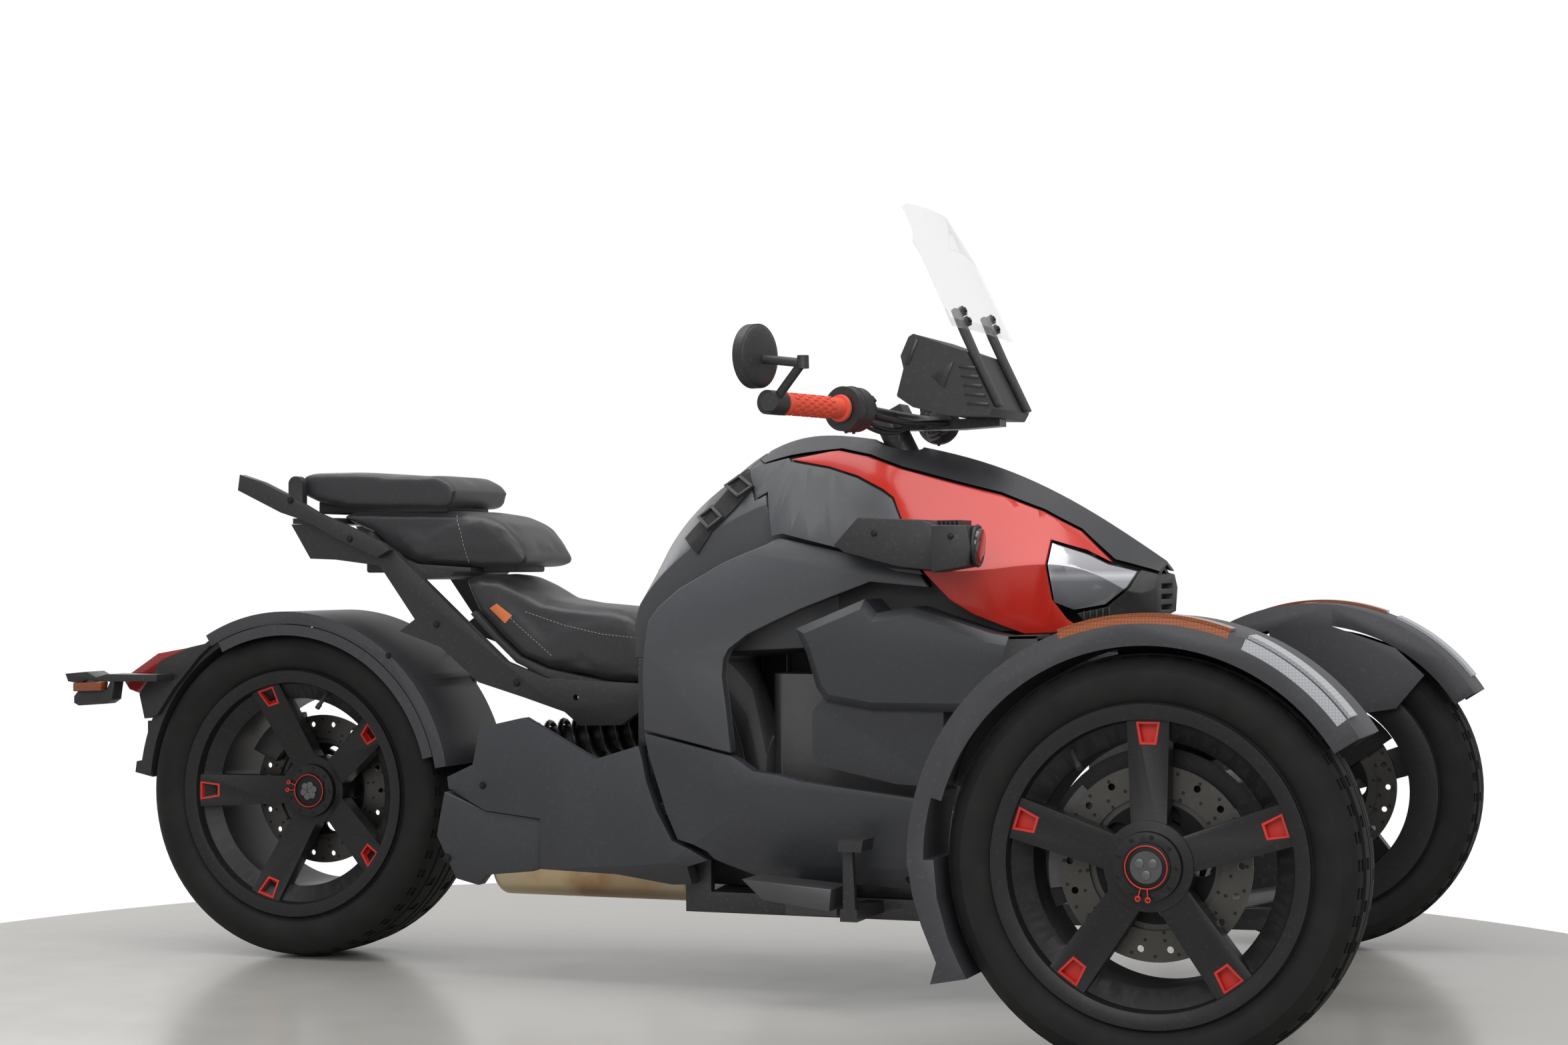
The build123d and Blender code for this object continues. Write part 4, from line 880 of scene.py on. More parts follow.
def makeShadeDustShield(name, body):
    # a thin pressed plate on the knuckle, just inboard of the disc; its deep black also serves as painted
    # shade behind the spokes
    low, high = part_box("disc_" + name)
    side = -1 if low.y < 0 else 1
    face = min(abs(low.y), abs(high.y)) - shadeShieldLook["gap"]
    bm = bmesh.new()
    far = side * (face - shadeShieldLook["thick"]) * 1000
    addSlab(bm, sectorOf(frontCentre, shadeShieldLook, 28), side * face * 1000, far)
    finishPiece("shadeDustShield_" + name, bm, "hubBlack", body)


# rows of black dots painted as the shade of holes: share of the disc's radius, count and turn
holeShadeLook = {"rows": ((0.94, 24, 0.0), (0.78, 24, 0.5), (0.7, 12, 0.25)), "radius": 0.0026}


def makeHoleShadeDots(name):
    # thin black dots on both faces of the disc: painted shade that stands in for further drilled holes
    low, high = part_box("disc_" + name)
    centre, radius = (low + high) / 2, (high.z - low.z) / 2
    bm = bmesh.new()
    for share, count, turn in holeShadeLook["rows"]:
        for i in range(count):
            a = 2 * math.pi * (i + turn) / count
            x, z = centre.x + math.cos(a) * radius * share, centre.z + math.sin(a) * radius * share
            for y, out in ((low.y, -1), (high.y, 1)):
                near, far = Vector((x, y - out * 0.0004, z)), Vector((x, y + out * 0.0002, z))
                addRod(bm, near, far, holeShadeLook["radius"], segments=12)
    finishPiece("discHoleShade_" + name, bm, "blackBoltAndHoleShade", "wheel_" + name)


for name in ("front_right", "front_left"):
    makeShadeDustShield(name, "knuckle_" + name.split("_")[1])
for name, w in wheelSet.items():
    makeHoleShadeDots(name)
    makeTyre(name, w)
    makeInserts(name, w)
    makeHub(name, w)
print("wheels made")


# padded seats
seatLook = {
    "riderCushion": {"node": "rider_seat", "inset": 0.0025, "cap": 0.0035, "pinch": 0.10, "body": "chassis"},
    "pillionCushion": {
        "node": "pillion_seat", "inset": 0.0025, "cap": 0.0035, "pinch": 0.12, "body": "chassis",
    },
    "backPad": {"node": "backrest", "inset": 0.002, "cap": 0.003, "pinch": 0.06, "body": "backrest_pad"},
}
clothSteps = 20


def applied(piece, kind, **settings):
    # adds a modifier with its settings and applies it
    modifier = piece.modifiers.new(kind, kind)
    for label, value in settings.items():
        setattr(modifier, label, value)
    bpy.ops.object.modifier_apply(modifier=modifier.name)


def makeCushion(name, look):
    # a slightly smaller copy of the solid, remeshed, blown up as cloth and held to a small swell
    low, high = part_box(look["node"])
    bm = mergedCopy(look["node"], 1e-5)
    centre, size = (low + high) / 2, high - low
    shrink = Vector([1 - 2 * look["inset"] / s for s in size])
    bmesh.ops.scale(bm, vec=shrink, space=Matrix.Translation(-centre), verts=bm.verts)
    piece = addObject(name, meshOf(name, bm))
    bpy.context.view_layer.objects.active = piece
    piece.select_set(True)
    applied(piece, "REMESH", mode="VOXEL", voxel_size=0.006)
    applied(piece, "SMOOTH", iterations=3)
    rest = [v.co.copy() for v in piece.data.vertices]
    cloth = piece.modifiers.new("air", "CLOTH")
    cloth.settings.quality = 4
    cloth.settings.use_pressure = True
    cloth.settings.uniform_pressure_force = 4.0
    cloth.settings.effector_weights.gravity = 0.0
    cloth.point_cache.frame_start, cloth.point_cache.frame_end = 1, clothSteps
    for frameNumber in range(1, clothSteps + 1):
        scene.frame_set(frameNumber)
    bpy.ops.object.modifier_apply(modifier="air")
    scene.frame_set(1)
    for vertex, before in zip(piece.data.vertices, rest):
        moved = vertex.co - before
        if moved.length > look["cap"]:
            moved = moved.normalized() * look["cap"]
        side = abs(before.y - centre.y) / (size.y / 2)
        tall = (before.z - low.z) / size.z
        crown = 1 - look["pinch"] * max(0.0, side - 0.35) ** 2 * tall
        place = before + moved
        place.z = low.z + (place.z - low.z) * crown
        vertex.co = [min(max(c, l + 0.0005), h - 0.0005) for c, l, h in zip(place, low, high)]
    piece.data.polygons.foreach_set("use_smooth", [True] * len(piece.data.polygons))
    applied(piece, "SMOOTH", iterations=5)
    applied(piece, "SUBSURF", levels=1, render_levels=1)
    piece.select_set(False)
    piece.data.materials.clear()
    piece.data.materials.append(finishes["seatVinyl"])
    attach(piece, look["body"])
    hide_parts(look["node"])
    return piece


cushions = {name: makeCushion(name, look) for name, look in seatLook.items()}


# node, body, inset and depth in metres
panLook = {
    "pillionPan": ("pillion_seat", "chassis", 0.045, 0.013),
    "padPan": ("backrest", "backrest_pad", 0.03, 0.012),
}


def makePan(name, node, body, inset, deep):
    # the moulded tray under a cushion
    low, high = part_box(node)
    bm = bmesh.new()
    size = high - low
    middle = Matrix.Translation(((low.x + high.x) / 2, 0, low.z + deep * 0.35))
    addBlock(bm, (size.x - 2 * inset, size.y - 2 * inset, deep * 2), middle)
    finishPiece(name, bm, "blackPlastic", body, bevel=0.004)


for name, look in panLook.items():
    makePan(name, *look)
print("cushions made")


def onCushion(name, side, x, z):
    # the surface of a cushion at a place of the side view, in metres
    hit, place, normal, index = cushions[name].ray_cast(Vector((x, side * 0.3, z)), Vector((0, -side, 0)))
    return (place, normal) if hit else None


stitchLook = {"step": 0.0065, "share": 0.62, "thick": 0.0006, "longest": 0.02}
stitchRuns = {
    "riderStitchUpper": ("riderCushion", [(-1241, 622), (-1167, 599), (-1094, 584), (-1022, 577)]),
    "riderStitchLower": ("riderCushion", [(-1268, 612), (-1250, 596), (-1224, 575), (-1187, 545)]),
    "pillionStitch": ("pillionCushion", [(-1376, 790), (-1363, 762), (-1350, 706)]),
}


def makeStitches(name, cushion, points):
    # short threads on both sides, along a line drawn in the side view
    look = stitchLook
    bm = bmesh.new()
    for side in (-1, 1):
        for a, b in zip(points, points[1:]):
            first, last = at(a[0], 0, a[1]), at(b[0], 0, b[1])
            count = max(1, int((last - first).length / look["step"]))
            for i in range(count):
                spots = [first.lerp(last, (i + t) / count) for t in (0, look["share"])]
                found = [onCushion(cushion, side, p.x, p.z) for p in spots]
                if not all(found):
                    continue
                start, end = (place + normal * look["thick"] for place, normal in found)
                if (start - end).length < look["longest"]:
                    addRod(bm, start, end, look["thick"], segments=6)
    finishPiece(name, bm, "threadGrey", "chassis")


for name, run in stitchRuns.items():
    makeStitches(name, *run)
print("stitching made")


# panels with softened edges, copied from the frame's solids: finish, and bevel in millimetres
panelLook = {
    "hood": ("hoodPlastic", 1.6), "tank": ("sidePanel", 1.8), "side_panels": ("sidePanel", 1.4),
    "fairings": ("redPaint", 1.4), "nose": ("blackPlastic", 1.2), "c_panels": ("sidePanel", 2.4),
    "sill_panels": ("shadedLowPanel", 2.4), "engine_covers": ("shadedLowPanel", 4.0), "rear_covers": ("shadedLowPanel", 3.0),
    "muffler_shield": ("shadedLowPanel", 2.0), "rack": ("blackPlastic", 2.4), "subframe": ("blackPlastic", 2.0),
    "console": ("blackPlastic", 2.0), "aux_lamps": ("blackPlastic", 2.0),
    "aux_brackets": ("blackPlastic", 2.0), "tail_carrier": ("blackPlastic", 1.5),
    "tail_lamp": ("tailLens", 1.5), "swingarm": ("framePaint", 4.0), "frame": ("framePaint", 2.0),
    "engine": ("castAlloy", 4.0), "headlamps": ("lampLens", 1.4), "fender_right": ("frontFender", 2.2),
    "fender_left": ("frontFender", 2.2), "rear_fender": ("fenderPlastic", 2.0),
    "screen_brackets": ("blackPlastic", 1.5), "footpegs": ("castAlloy", 1.5),
    "rear_signals": ("blackPlastic", 1.0), "rim_front_right": ("rimPaint", 1.5),
    "rim_front_left": ("rimPaint", 1.5), "rim_rear": ("rimPaint", 1.5),
}
bodyOf = {name: body for body, members in frame["record"]["behaviour"]["bodies"].items() for name in members}


def softenPanel(name, finish, bevel):
    bm = mergedCopy(name, 2e-5)
    bmesh.ops.dissolve_limit(bm, angle_limit=math.radians(0.6), verts=bm.verts, edges=bm.edges)
    softenEdges(bm, bevel / 1000, 28, shortest=bevel / 1000 * 1.5, clamp=True)
    low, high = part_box(name)
    for v in bm.verts:
        v.co = [min(max(c, l), h) for c, l, h in zip(v.co, low, high)]
    piece = finishPiece("soft_" + name, bm, finish, bodyOf[name], sharp=34)
    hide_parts(name)


for name, (finish, bevel) in panelLook.items():
    softenPanel(name, finish, bevel)
print("panels softened")


def onNode(name, x, z, side=-1):
    # the outer surface of a node at a place of the side view
    return castOn(name, at(x, side * 900, z), Vector((0, -side, 0)))


# fasteners on the panels: node, place in the side view and radius in millimetres
boltSpots = [
    ("subframe", -1245, 500, 5.5), ("subframe", -1400, 600, 5.0), ("rack", -1560, 750, 5.0),
    ("rack", -1679, 820, 5.0), ("muffler_shield", -1330, 205, 6.0), ("aux_brackets", -540, 750, 4.0),
    ("aux_lamps", -400, 744, 4.0), ("rear_covers", -1262, 330, 5.0), ("sill_panels", -500, 200, 5.0),
    ("rear_fender", -1500, 545, 4.5),
]


def makeBolts():
    bm = bmesh.new()
    for name, x, z, radius in boltSpots:
        for side in (-1, 1):
            found = onNode(name, x, z, side)
            if found:
                place, normal = found
                addBolt(bm, place - normal * 0.0006, normal, radius / 1000, 0.0042)
    finishPiece("panelBolts", bm, "blackBoltAndHoleShade", "chassis", bevel=0.0004)


makeBolts()

# front: lens fins, hood liner, grille
def makeLensFins():
    bm = bmesh.new()
    for i in range(6):
        x = -244 + i * 9
        found = onNode("nose", x, 617 + i * 1.6) or onNode("fairings", x, 612)
        if not found:
            continue
        place, normal = found
        for side in (-1, 1):
            spot = Vector((place.x, side * abs(place.y), place.z))
            out = Vector((normal.x, side * abs(normal.y), normal.z))
            addBlock(bm, (0.0032, 0.012, 0.014), Matrix.Translation(spot + out * 0.001))
    finishPiece("lensFins", bm, "blackPlastic", "chassis", bevel=0.0006)


makeLensFins()

linerLook = {"drop": 0.008, "narrow": 0.972, "back": 0.005}


def makeHoodLiner():
    # the dark tray that closes the slits below the hood
    bm = mergedCopy("hood", 2e-5)
    bmesh.ops.scale(bm, vec=(1, linerLook["narrow"], 1), verts=bm.verts)
    bmesh.ops.translate(bm, vec=(-linerLook["back"], 0, -linerLook["drop"]), verts=bm.verts)
    finishPiece("hoodLiner", bm, "blackPlastic", "chassis")


makeHoodLiner()

grilleLook = {"low": (128, 335), "knee": (92, 448), "high": (-112, 556), "half": 100, "deep": 7}


def makeGrille():
    look = grilleLook
    bm = bmesh.new()
    runs = [(look["low"], look["knee"], 6), (look["knee"], look["high"], 10)]
    for first, last, count in runs:
        slopeX, slopeZ = last[0] - first[0], last[1] - first[1]
        length = math.hypot(slopeX, slopeZ)
        outX, outZ = slopeZ / length, -slopeX / length
        for i in range(count):
            t = (i + 0.5) / count
            x, z = first[0] + slopeX * t, first[1] + slopeZ * t
            tall = length / count * 0.42
            ux, uz = slopeX / length * tall / 2, slopeZ / length * tall / 2
            d = look["deep"]
            addSlab(
                bm,
                [
                    (x - ux, z - uz), (x - ux + outX * d, z - uz + outZ * d),
                    (x + ux + outX * d * 0.5, z + uz + outZ * d * 0.5), (x + ux, z + uz),
                ],
                -look["half"], look["half"],
            )
        for y in (-look["half"], 0, look["half"]):
            addSlab(
                bm,
                [
                    first, (first[0] + outX * 5, first[1] + outZ * 5),
                    (last[0] + outX * 5, last[1] + outZ * 5), last,
                ],
                y - 4, y + 4,
            )
    finishPiece("frontGrille", bm, "blackPlastic", "chassis", bevel=0.0008)


makeGrille()

# coil springs round the dampers
frontSpring = {"radius": 0.036, "wire": 0.0052, "turns": 9}
springLook = {
    "springFrontRight": {**frontSpring, "start": (-3, -437, 216), "end": (-62, -194, 443)},
    "springFrontLeft": {**frontSpring, "start": (-3, 437, 216), "end": (-62, 194, 443)},
    "springRear": {
        "radius": 0.038, "wire": 0.0055, "turns": 8, "start": (-1300, 60, 378.5), "end": (-1080, 60, 410.5),
    },
}


def makeSpring(name, look):
    start, end = at(*look["start"]), at(*look["end"])
    along = end - start
    bm = bmesh.new()
    steps = look["turns"] * 20
    bmesh.ops.spin(
        bm, geom=wireSection(bm, look["radius"], look["wire"], 8), cent=(0, 0, 0), axis=(0, 0, 1),
        dvec=(0, 0, along.length / steps), angle=2 * math.pi * look["turns"], steps=steps, use_merge=False,
    )
    bmesh.ops.remove_doubles(bm, verts=bm.verts, dist=1e-6)
    bmesh.ops.holes_fill(bm, edges=[e for e in bm.edges if e.is_boundary], sides=12)
    bmesh.ops.recalc_face_normals(bm, faces=bm.faces)
    bmesh.ops.transform(bm, matrix=Matrix.Translation(start) @ turnTo(along), verts=bm.verts)
    finishPiece(name, bm, "springBlack", "chassis", sharp=60)


for name, look in springLook.items():
    makeSpring(name, look)

# aux lamps
def makeAuxLenses():
    bm = bmesh.new()
    addRod(bm, at(-370, -300, 729), at(-362, -300, 728), 0.029, 0.0275, 40)
    finishPiece("auxLens", bm, "gaugeGlass", "chassis", bevel=0.0012, both=True)
    bm = bmesh.new()
    addRing(bm, at(-367, -300, 729), Vector((1, 0, 0)), 0.0305, 0.0032, 40, 8)
    for i in range(6):
        x = -424 + i * 7
        addSlab(bm, [(x, 757), (x + 2.6, 757), (x + 2.6, 769), (x, 769)], -332, -268)
    finishPiece("auxFins", bm, "blackPlastic", "chassis", both=True)


makeAuxLenses()

# air duct with louvres ahead of each engine cover
def makeDucts():
    bm = bmesh.new()
    outer = [(-346, 497), (-322, 589), (-276, 590), (-276, 528)]
    for near, far in ((-288, -282), (-210, -204)):
        addSlab(bm, outer, near, far)
    addSlab(bm, [(-322, 583), (-322, 589), (-276, 590), (-276, 584)], -288, -204)
    addSlab(bm, [(-346, 497), (-340, 497), (-276, 528), (-276, 534), (-346, 503)], -288, -204)
    for i in range(3):
        z = 541 + i * 13
        addSlab(bm, [(-318, z + 4), (-278, z - 2), (-277, z + 2), (-317, z + 8)], -284, -208)
    finishPiece("airDucts", bm, "blackPlastic", "chassis", bevel=0.001, both=True)


makeDucts()

# handlebar set
def makeMirrorGlass():
    centre = Vector((axleX - 0.682, -0.440, 1.024))
    facing = Vector((-1, 0.25, 0)).normalized()
    bm = bmesh.new()
    addRod(bm, centre + facing * 0.0078, centre + facing * 0.0086, 0.0465, 0.0462, 64)
    finishPiece("mirrorGlass", bm, "mirrorGlass", "handlebar_set", both=True)
    bm = bmesh.new()
    made = bmesh.ops.create_uvsphere(bm, u_segments=48, v_segments=16, radius=0.0495)["verts"]
    bmesh.ops.scale(bm, vec=(1, 1, 0.22), verts=made)
    bmesh.ops.transform(bm, matrix=Matrix.Translation(centre - facing * 0.006) @ turnTo(-facing), verts=made)
    addRing(bm, centre + facing * 0.0075, facing, 0.0482, 0.0019, 64, 8)
    addRod(bm, Vector((axleX - 0.6, -0.450, 1.002)), Vector((axleX - 0.6, -0.450, 1.022)), 0.0095, 0.009, 24)
    addRod(
        bm, Vector((axleX - 0.655, -0.446, 0.952)), Vector((axleX - 0.655, -0.452, 0.952)), 0.016, 0.0145,
        32,
    )
    finishPiece("mirrorShells", bm, "blackPlastic", "handlebar_set", both=True)


makeMirrorGlass()

def addKnob(bm, spot, along, swing, size, out):
    # a small block that stands out from a bar
    side = along.cross(upward).normalized()
    facing = side * math.cos(swing) + side.cross(along) * math.sin(swing)
    addBlock(bm, size, axesAt(spot + facing * out, along, facing.cross(along), facing))


gripLook = {"start": (-603, -263, 950.4), "end": (-650, -409, 951.8), "rings": 9, "ribs": 10}


def makeGripRibs():
    look = gripLook
    start, end = at(*look["start"]), at(*look["end"])
    along = (end - start).normalized()
    bm = bmesh.new()
    for i in range(look["rings"]):
        spot = start.lerp(end, 0.26 + 0.6 * i / (look["rings"] - 1))
        for j in range(look["ribs"]):
            swing = 2 * math.pi * (j + 0.5 * (i % 2)) / look["ribs"]
            addKnob(bm, spot, along, swing, (0.0095, 0.0062, 0.0026), 0.0166)
    for t, radius in ((0.03, 0.0225), (0.97, 0.019)):
        spot = start.lerp(end, t)
        addRod(bm, spot - along * 0.003, spot + along * 0.003, radius, radius * 0.95, 40)
    finishPiece("gripRibs", bm, "gripRed", "handlebar_set", bevel=0.0007, both=True)


makeGripRibs()


def makeSwitches():
    a, b = at(-590, -222, 950), at(-602.5, -261, 950.3)
    along = (b - a).normalized()
    bm = bmesh.new()
    addRod(bm, a - along * 0.026, a, 0.021, 0.024, 32)
    for swing, size in (
        (0.5, (0.018, 0.012, 0.01)), (1.1, (0.012, 0.01, 0.012)), (2.4, (0.016, 0.012, 0.009)),
    ):
        addKnob(bm, a - along * 0.012, along, swing, size, 0.024)
    for t in (0.25, 0.75):
        spot = a.lerp(b, t)
        addBolt(bm, spot - upward * 0.0352, -upward, 0.003, 0.004)
    addRing(bm, a.lerp(b, 0.5), along, 0.0362, 0.0014, 48, 6)
    finishPiece("switchBlocks", bm, "blackPlastic", "handlebar_set", bevel=0.0008, both=True)
    bm = bmesh.new()
    for lift in (0.0, 8.0):
        start = a - along * 0.02 - upward * (0.016 + lift / 1000)
        path = [(-582, -150, 925 - lift), (-572, -90, 922 - lift * 0.6), (-560, -40, 930), (-540, -24, 934)]
        addTube(bm, [start] + [at(*p) for p in path], 0.0036)
    start = a - along * 0.02 + Vector((0.018, 0, -0.008))
    path = [(-560, -160, 938), (-545, -100, 932), (-520, -50, 936), (-500, -22, 936)]
    addTube(bm, [start] + [at(*p) for p in path], 0.0042)
    finishPiece("barWires", bm, "cableBlack", "handlebar_set", sharp=60, both=True)


makeSwitches()


def makeConsoleFace():
    bm = bmesh.new()
    addSlab(bm, [(-557, 982), (-560, 984), (-551, 1024), (-540, 1066), (-537, 1064), (-547, 1022)], -88, 88)
    finishPiece("gaugeFace", bm, "gaugeGlass", "handlebar_set", bevel=0.001)
    bm = bmesh.new()
    addSlab(bm, [(-500, 1010), (-462, 1032), (-478, 990)], -112.2, -109)
    addSlab(bm, [(-545, 1030), (-528, 1072), (-522, 1070), (-538, 1030)], -112.2, -109)
    for i in range(5):
        z = 958 + i * 15
        addSlab(
            bm,
            [(-440 - i * 3.4, z + 4), (-404 - i * 5.6, z), (-402 - i * 5.6, z + 5), (-438 - i * 3.4, z + 9)],
            -112.4, -109,
        )
    finishPiece("consoleTrim", bm, "springBlack", "handlebar_set", bevel=0.0006, both=True)


makeConsoleFace()

screenLook = {"half": 176, "taper": 26, "bow": 26, "rows": 22, "columns": 28, "corner": 46}


def makeScreen():
    # a thin sheet bowed forward in the middle, with rounded upper corners
    look = screenLook
    profile = [(-442, 1084), (-460, 1124), (-482, 1172), (-506, 1224), (-547, 1293)]
    bm = bmesh.new()
    bmesh.ops.create_grid(bm, x_segments=look["columns"], y_segments=look["rows"], size=1.0)
    for v in bm.verts:
        across, up = v.co.x, (v.co.y + 1) / 2
        place = up * (len(profile) - 1)
        i = min(int(place), len(profile) - 2)
        x, z = (a + (b - a) * (place - i) for a, b in zip(profile[i], profile[i + 1]))
        half = look["half"] - look["taper"] * up ** 3
        rounding = max(0.0, abs(across) - 0.72) / 0.28
        z -= look["corner"] * (1 - math.sqrt(max(0.0, 1 - rounding ** 2))) * up ** 6
        x += look["bow"] * (1 - across ** 2) * (0.3 + 0.4 * up) - 2
        v.co = at(x, across * half, z)
    bmesh.ops.recalc_face_normals(bm, faces=bm.faces)
    bmesh.ops.solidify(bm, geom=bm.faces[:], thickness=-0.003)
    bmesh.ops.recalc_face_normals(bm, faces=bm.faces)
    piece = finishPiece("clearScreen", bm, "clearScreen", "handlebar_set", sharp=50)
    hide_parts("screen")
    bm = bmesh.new()
    for x, z in ((-449, 1097), (-457, 1114)):
        addRod(bm, at(x - 6, -85, z - 3), at(x + 7, -85, z + 4), 0.0085, 0.0085, 24)
        addBolt(bm, at(x + 6, -85, z + 3.4), Vector((0.88, 0, 0.45)), 0.005, 0.004)
    finishPiece("screenBolts", bm, "blackBoltAndHoleShade", "handlebar_set", bevel=0.0005, both=True)


makeScreen()

# tail
def makeTail():
    bm = bmesh.new()
    addSlab(bm, [(-2066, 478), (-2064, 494), (-2126, 492), (-2126, 476)], -160, -138)
    finishPiece("signalLens", bm, "amberLens", "chassis", bevel=0.002, both=True)
    bm = bmesh.new()
    addRod(bm, at(-2023, 0, 352), at(-2031, 0, 351), 0.026, 0.025, 36)
    finishPiece("rearReflector", bm, "tailLens", "chassis", bevel=0.001)


makeTail()

skirtLook = {"near": 284, "far": 303, "start": 14, "end": 117, "inner": 112.5, "outer": 115.9}


def makeSkirts():
    # the lower lips of the rear fender, down beside the tyre
    bm = bmesh.new()
    addSlab(bm, sectorOf(rearCentre, skirtLook, 36), -skirtLook["outer"], -skirtLook["inner"])
    finishPiece("fenderSkirts", bm, "fenderPlastic", "chassis", both=True)


makeSkirts()

guardLook = {"outline": ((-912, 166), (-912, 232), (-745, 232), (-745, 162)), "half": 112}


def makeBellyGuard():
    # the dark pan between the two sills, behind the foot rests
    bm = bmesh.new()
    addSlab(bm, guardLook["outline"], -guardLook["half"], guardLook["half"])
    finishPiece("bellyGuard", bm, "blackPlastic", "chassis", bevel=0.003)


makeBellyGuard()

# rear brake
def makeRearCaliper():
    bm = bmesh.new()
    outline = arcOf(rearCentre, 150, range(112, 153, 8)) + arcOf(rearCentre, 98, range(150, 111, -8))
    addSlab(bm, outline, 27, 58)
    addSlab(bm, outline, -6, 14)
    bridge = arcOf(rearCentre, 152, range(116, 149, 8)) + arcOf(rearCentre, 139, range(148, 115, -8))
    addSlab(bm, bridge, 12, 30)
    finishPiece("rearCaliper", bm, "darkAlloy", "chassis", bevel=0.003)
    bm = bmesh.new()
    plate = ((144, 120), (104, 120), (60, 60), (60, 100), (104, 146), (144, 146))
    foot = ((30, 60), (60, 60), (60, 110), (30, 110))
    for corners, far in ((plate, 66), (foot, 121)):
        addSlab(bm, [spotOf(rearCentre, radius, degree) for radius, degree in corners], 56, far)
    finishPiece("caliperBracket", bm, "castAlloy", "chassis", bevel=0.002)


makeRearCaliper()

# strap over the tank
strapLook = {
    "path": [(-775, -120, 925), (-815, -155, 895), (-857, -182, 860), (-902, -200, 820), (-940, -206, 775)],
    "core": (-800, 0, 600), "back": 0.12, "width": 0.05, "thick": 0.0022, "gap": 0.0009,
}


def towardsCore(place):
    return (at(*strapLook["core"]) - place).normalized()


def makeStrap():
    # a webbing strap laid on the hump, its edge points found on the surface
    look = strapLook
    line = [at(*p) for p in look["path"]]
    dense = [a.lerp(b, i / 8) for a, b in zip(line, line[1:]) for i in range(8)] + line[-1:]
    bm = bmesh.new()
    rows = []
    for i, p in enumerate(dense):
        ahead = (dense[min(i + 1, len(dense) - 1)] - dense[max(i - 1, 0)]).normalized()
        inward = towardsCore(p)
        across = ahead.cross(inward).normalized()
        starts = [p + across * t * look["width"] / 2 - inward * look["back"] for t in (-1, -0.5, 0, 0.5, 1)]
        found = [castOn("tank", start, inward) for start in starts]
        if all(found):
            lift = look["gap"] + look["thick"]
            rows.append([bm.verts.new(place + normal * lift) for place, normal in found])
    for a, b in zip(rows, rows[1:]):
        for i in range(4):
            bm.faces.new((a[i], a[i + 1], b[i + 1], b[i]))
    bmesh.ops.recalc_face_normals(bm, faces=bm.faces)
    bmesh.ops.solidify(bm, geom=bm.faces[:], thickness=look["thick"])
    bmesh.ops.recalc_face_normals(bm, faces=bm.faces)
    finishPiece("tankStrap", bm, "strapWebbing", "chassis", sharp=40)
    bm = bmesh.new()
    for i in (len(rows) // 3, 2 * len(rows) // 3):
        inward = towardsCore(dense[i])
        place, normal = castOn("tank", dense[i] - inward * look["back"], inward)
        ahead = (dense[i + 1] - dense[i]).normalized()
        across = ahead.cross(normal).normalized()
        bars = ((ahead, 0.014, (0.048, 0.006, 0.006)), (across, 0.022, (0.005, 0.032, 0.006)))
        for way, shift, size in bars:
            for sign in (-1, 1):
                spot = place + normal * 0.007 + way * shift * sign
                addBlock(bm, size, axesAt(spot, across, ahead, normal))
    finishPiece("strapBuckles", bm, "blackPlastic", "chassis", bevel=0.001)


makeStrap()

# seat tag
tagLook = {
    "corners": ((-1308, 628), (-1294, 636), (-1264, 615), (-1277, 602)), "lift": 0.0012, "thick": 0.0014,
}


def makeTag():
    for side in (-1, 1):
        bm = bmesh.new()
        face = bm.faces.new([bm.verts.new(at(x, side * 200, z)) for x, z in tagLook["corners"]])
        face.normal_update()
        if face.normal.y * side < 0:
            bmesh.ops.reverse_faces(bm, faces=[face])
        bmesh.ops.subdivide_edges(bm, edges=bm.edges[:], cuts=5, use_grid_fill=True)
        for v in bm.verts:
            found = onCushion("riderCushion", side, v.co.x, v.co.z)
            if found:
                v.co = found[0] + found[1] * tagLook["lift"]
        bmesh.ops.solidify(bm, geom=bm.faces[:], thickness=tagLook["thick"])
        bmesh.ops.recalc_face_normals(bm, faces=bm.faces)
        finishPiece("seatTag" + ("Right" if side < 0 else "Left"), bm, "tagOrange", "chassis")


makeTag()
print("details made")


# camera, floor and light
view = {"azimuth": 20.396, "tilt": 0.959, "roll": -0.241, "place": (830.3, -4383.2, 695.6), "lens": 62.72}


def placeCamera():
    az, tilt, roll = (math.radians(view[k]) for k in ("azimuth", "tilt", "roll"))
    ahead = Vector((-math.sin(az) * math.cos(tilt), math.cos(az) * math.cos(tilt), math.sin(tilt)))
    right = Vector((math.cos(az), math.sin(az), 0))
    up = right.cross(ahead)
    turnedRight = right * math.cos(roll) + up * math.sin(roll)
    turnedUp = up * math.cos(roll) - right * math.sin(roll)
    data = bpy.data.cameras.new("studioCamera")
    data.lens = view["lens"]
    data.sensor_width = 36.0
    camera = addObject("studioCamera", data)
    turn = Matrix((turnedRight, turnedUp, -ahead)).transposed()
    camera.matrix_world = Matrix.Translation(at(*view["place"])) @ turn.to_4x4()
    scene.camera = camera


placeCamera()

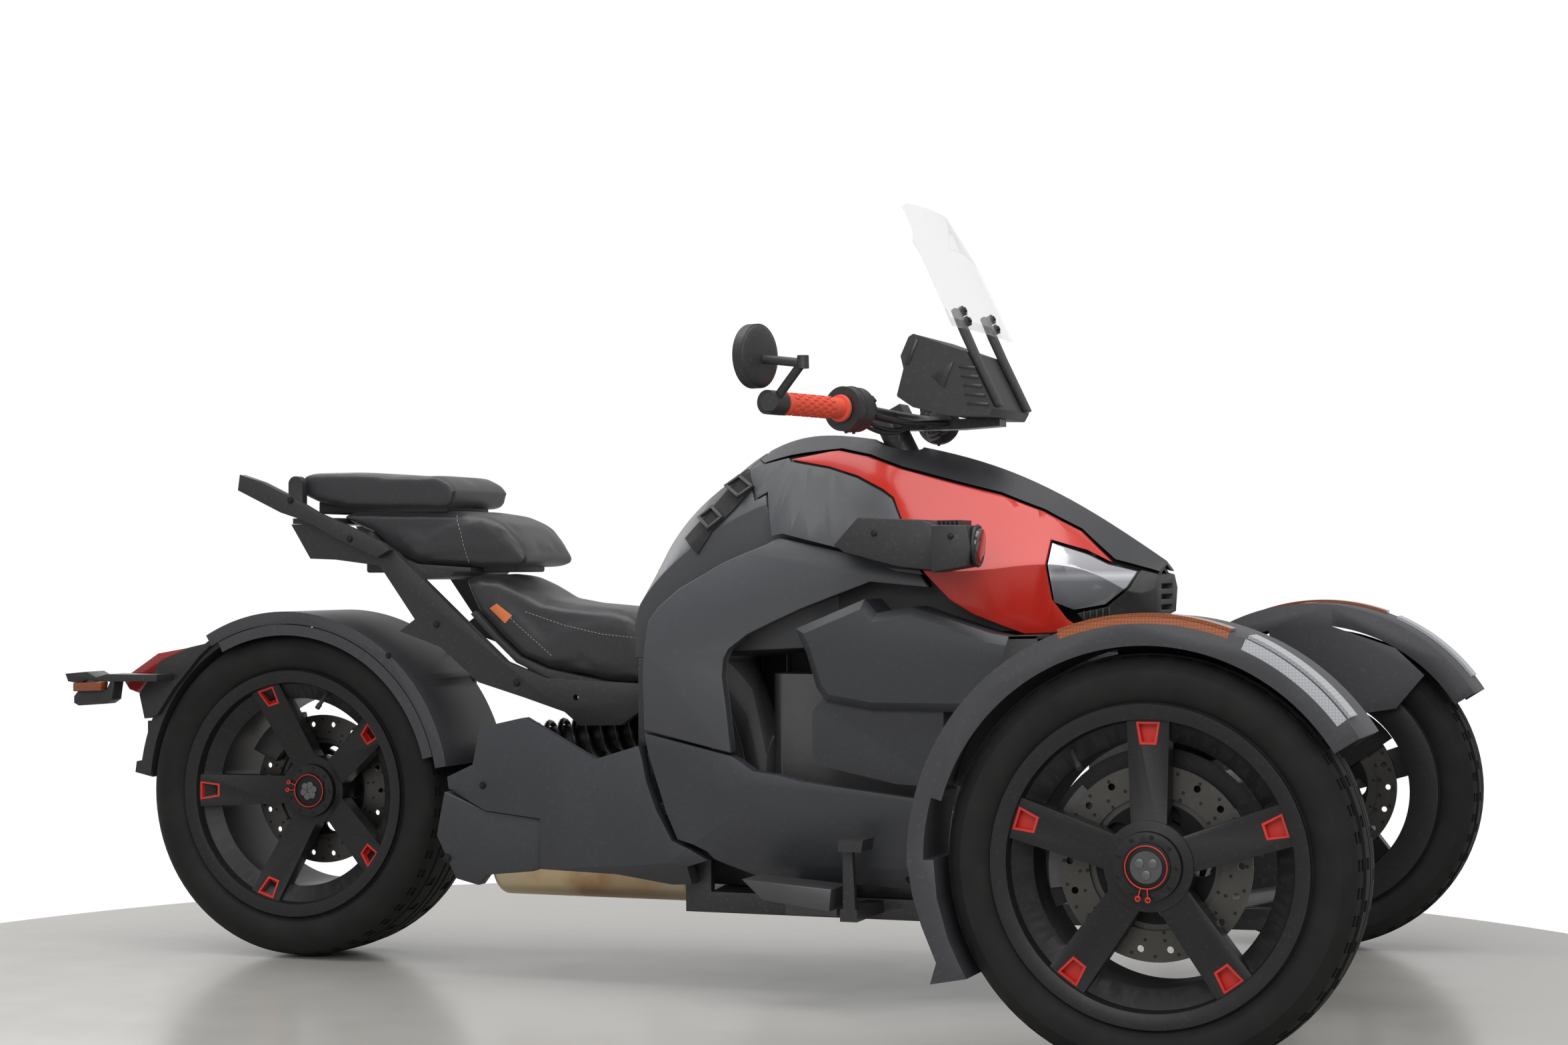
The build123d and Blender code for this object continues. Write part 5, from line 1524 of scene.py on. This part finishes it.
studio = {"centre": (-800, -330, 0), "radius": 1.78, "worldLight": 0.55}
floorLook = {
    "colour": (0.45, 0.437, 0.412), "second": [
        c * 0.94 for c in (0.45, 0.437, 0.412)
    ], "rough": 0.12, "spread": 0.14,
    "clouds": 2.2, "grain": 60, "bump": 0.04, "dust": 0.12, "plain": {"Specular IOR Level": 0.5},
}
# place, aim, size and power
lampLook = {
    "overhead": ((0, -0.4, 3.2), (0, 0, 0.4), (4.5, 2.4), 84),
    "sideSoft": ((1.2, -3.4, 2.0), (0, 0, 0.5), (3.0, 1.6), 45),
    "backSoft": ((-2.8, 1.6, 1.8), (0, 0, 0.6), (2.0, 1.6), 30),
}


def whiteBackground():
    # plain soft light from the world, and white where it is seen
    world = bpy.data.worlds.new("studioWorld")
    scene.world = world
    world.use_nodes = True
    tree = world.node_tree
    plain = tree.nodes["Background"]
    feed(tree, plain, {"Color": (1, 1, 1, 1), "Strength": studio["worldLight"]})
    white = addNode(tree, "Background", {"Color": (1, 1, 1, 1), "Strength": 1.0})
    paths = addNode(tree, "LightPath").outputs
    seen = maths(tree, "MAXIMUM", paths["Is Camera Ray"], paths["Is Transmission Ray"])
    mix = addNode(
        tree, "MixShader", {"Fac": seen, 1: plain.outputs["Background"], 2: white.outputs["Background"]},
    )
    feed(tree, tree.nodes["World Output"], {"Surface": mix.outputs["Shader"]})


def makeFloor():
    bm = bmesh.new()
    bmesh.ops.create_circle(bm, cap_ends=True, radius=studio["radius"], segments=128)
    bmesh.ops.translate(bm, vec=at(*studio["centre"]), verts=bm.verts)
    floor = addObject("studioFloor", meshOf("studioFloor", bm))
    floor.data.materials.append(finishOf("studioFloor", floorLook))


def areaLight(name, place, aim, size, power):
    data = bpy.data.lights.new(name, "AREA")
    data.shape = "RECTANGLE"
    data.size, data.size_y = size
    data.energy = power
    lamp = addObject(name, data)
    lamp.location = place
    lamp.rotation_euler = (Vector(aim) - Vector(place)).to_track_quat("-Z", "Y").to_euler()


whiteBackground()
makeFloor()
for name, setting in lampLook.items():
    areaLight(name, *setting)
scene.view_settings.view_transform = "Standard"
print("camera, floor and light placed")
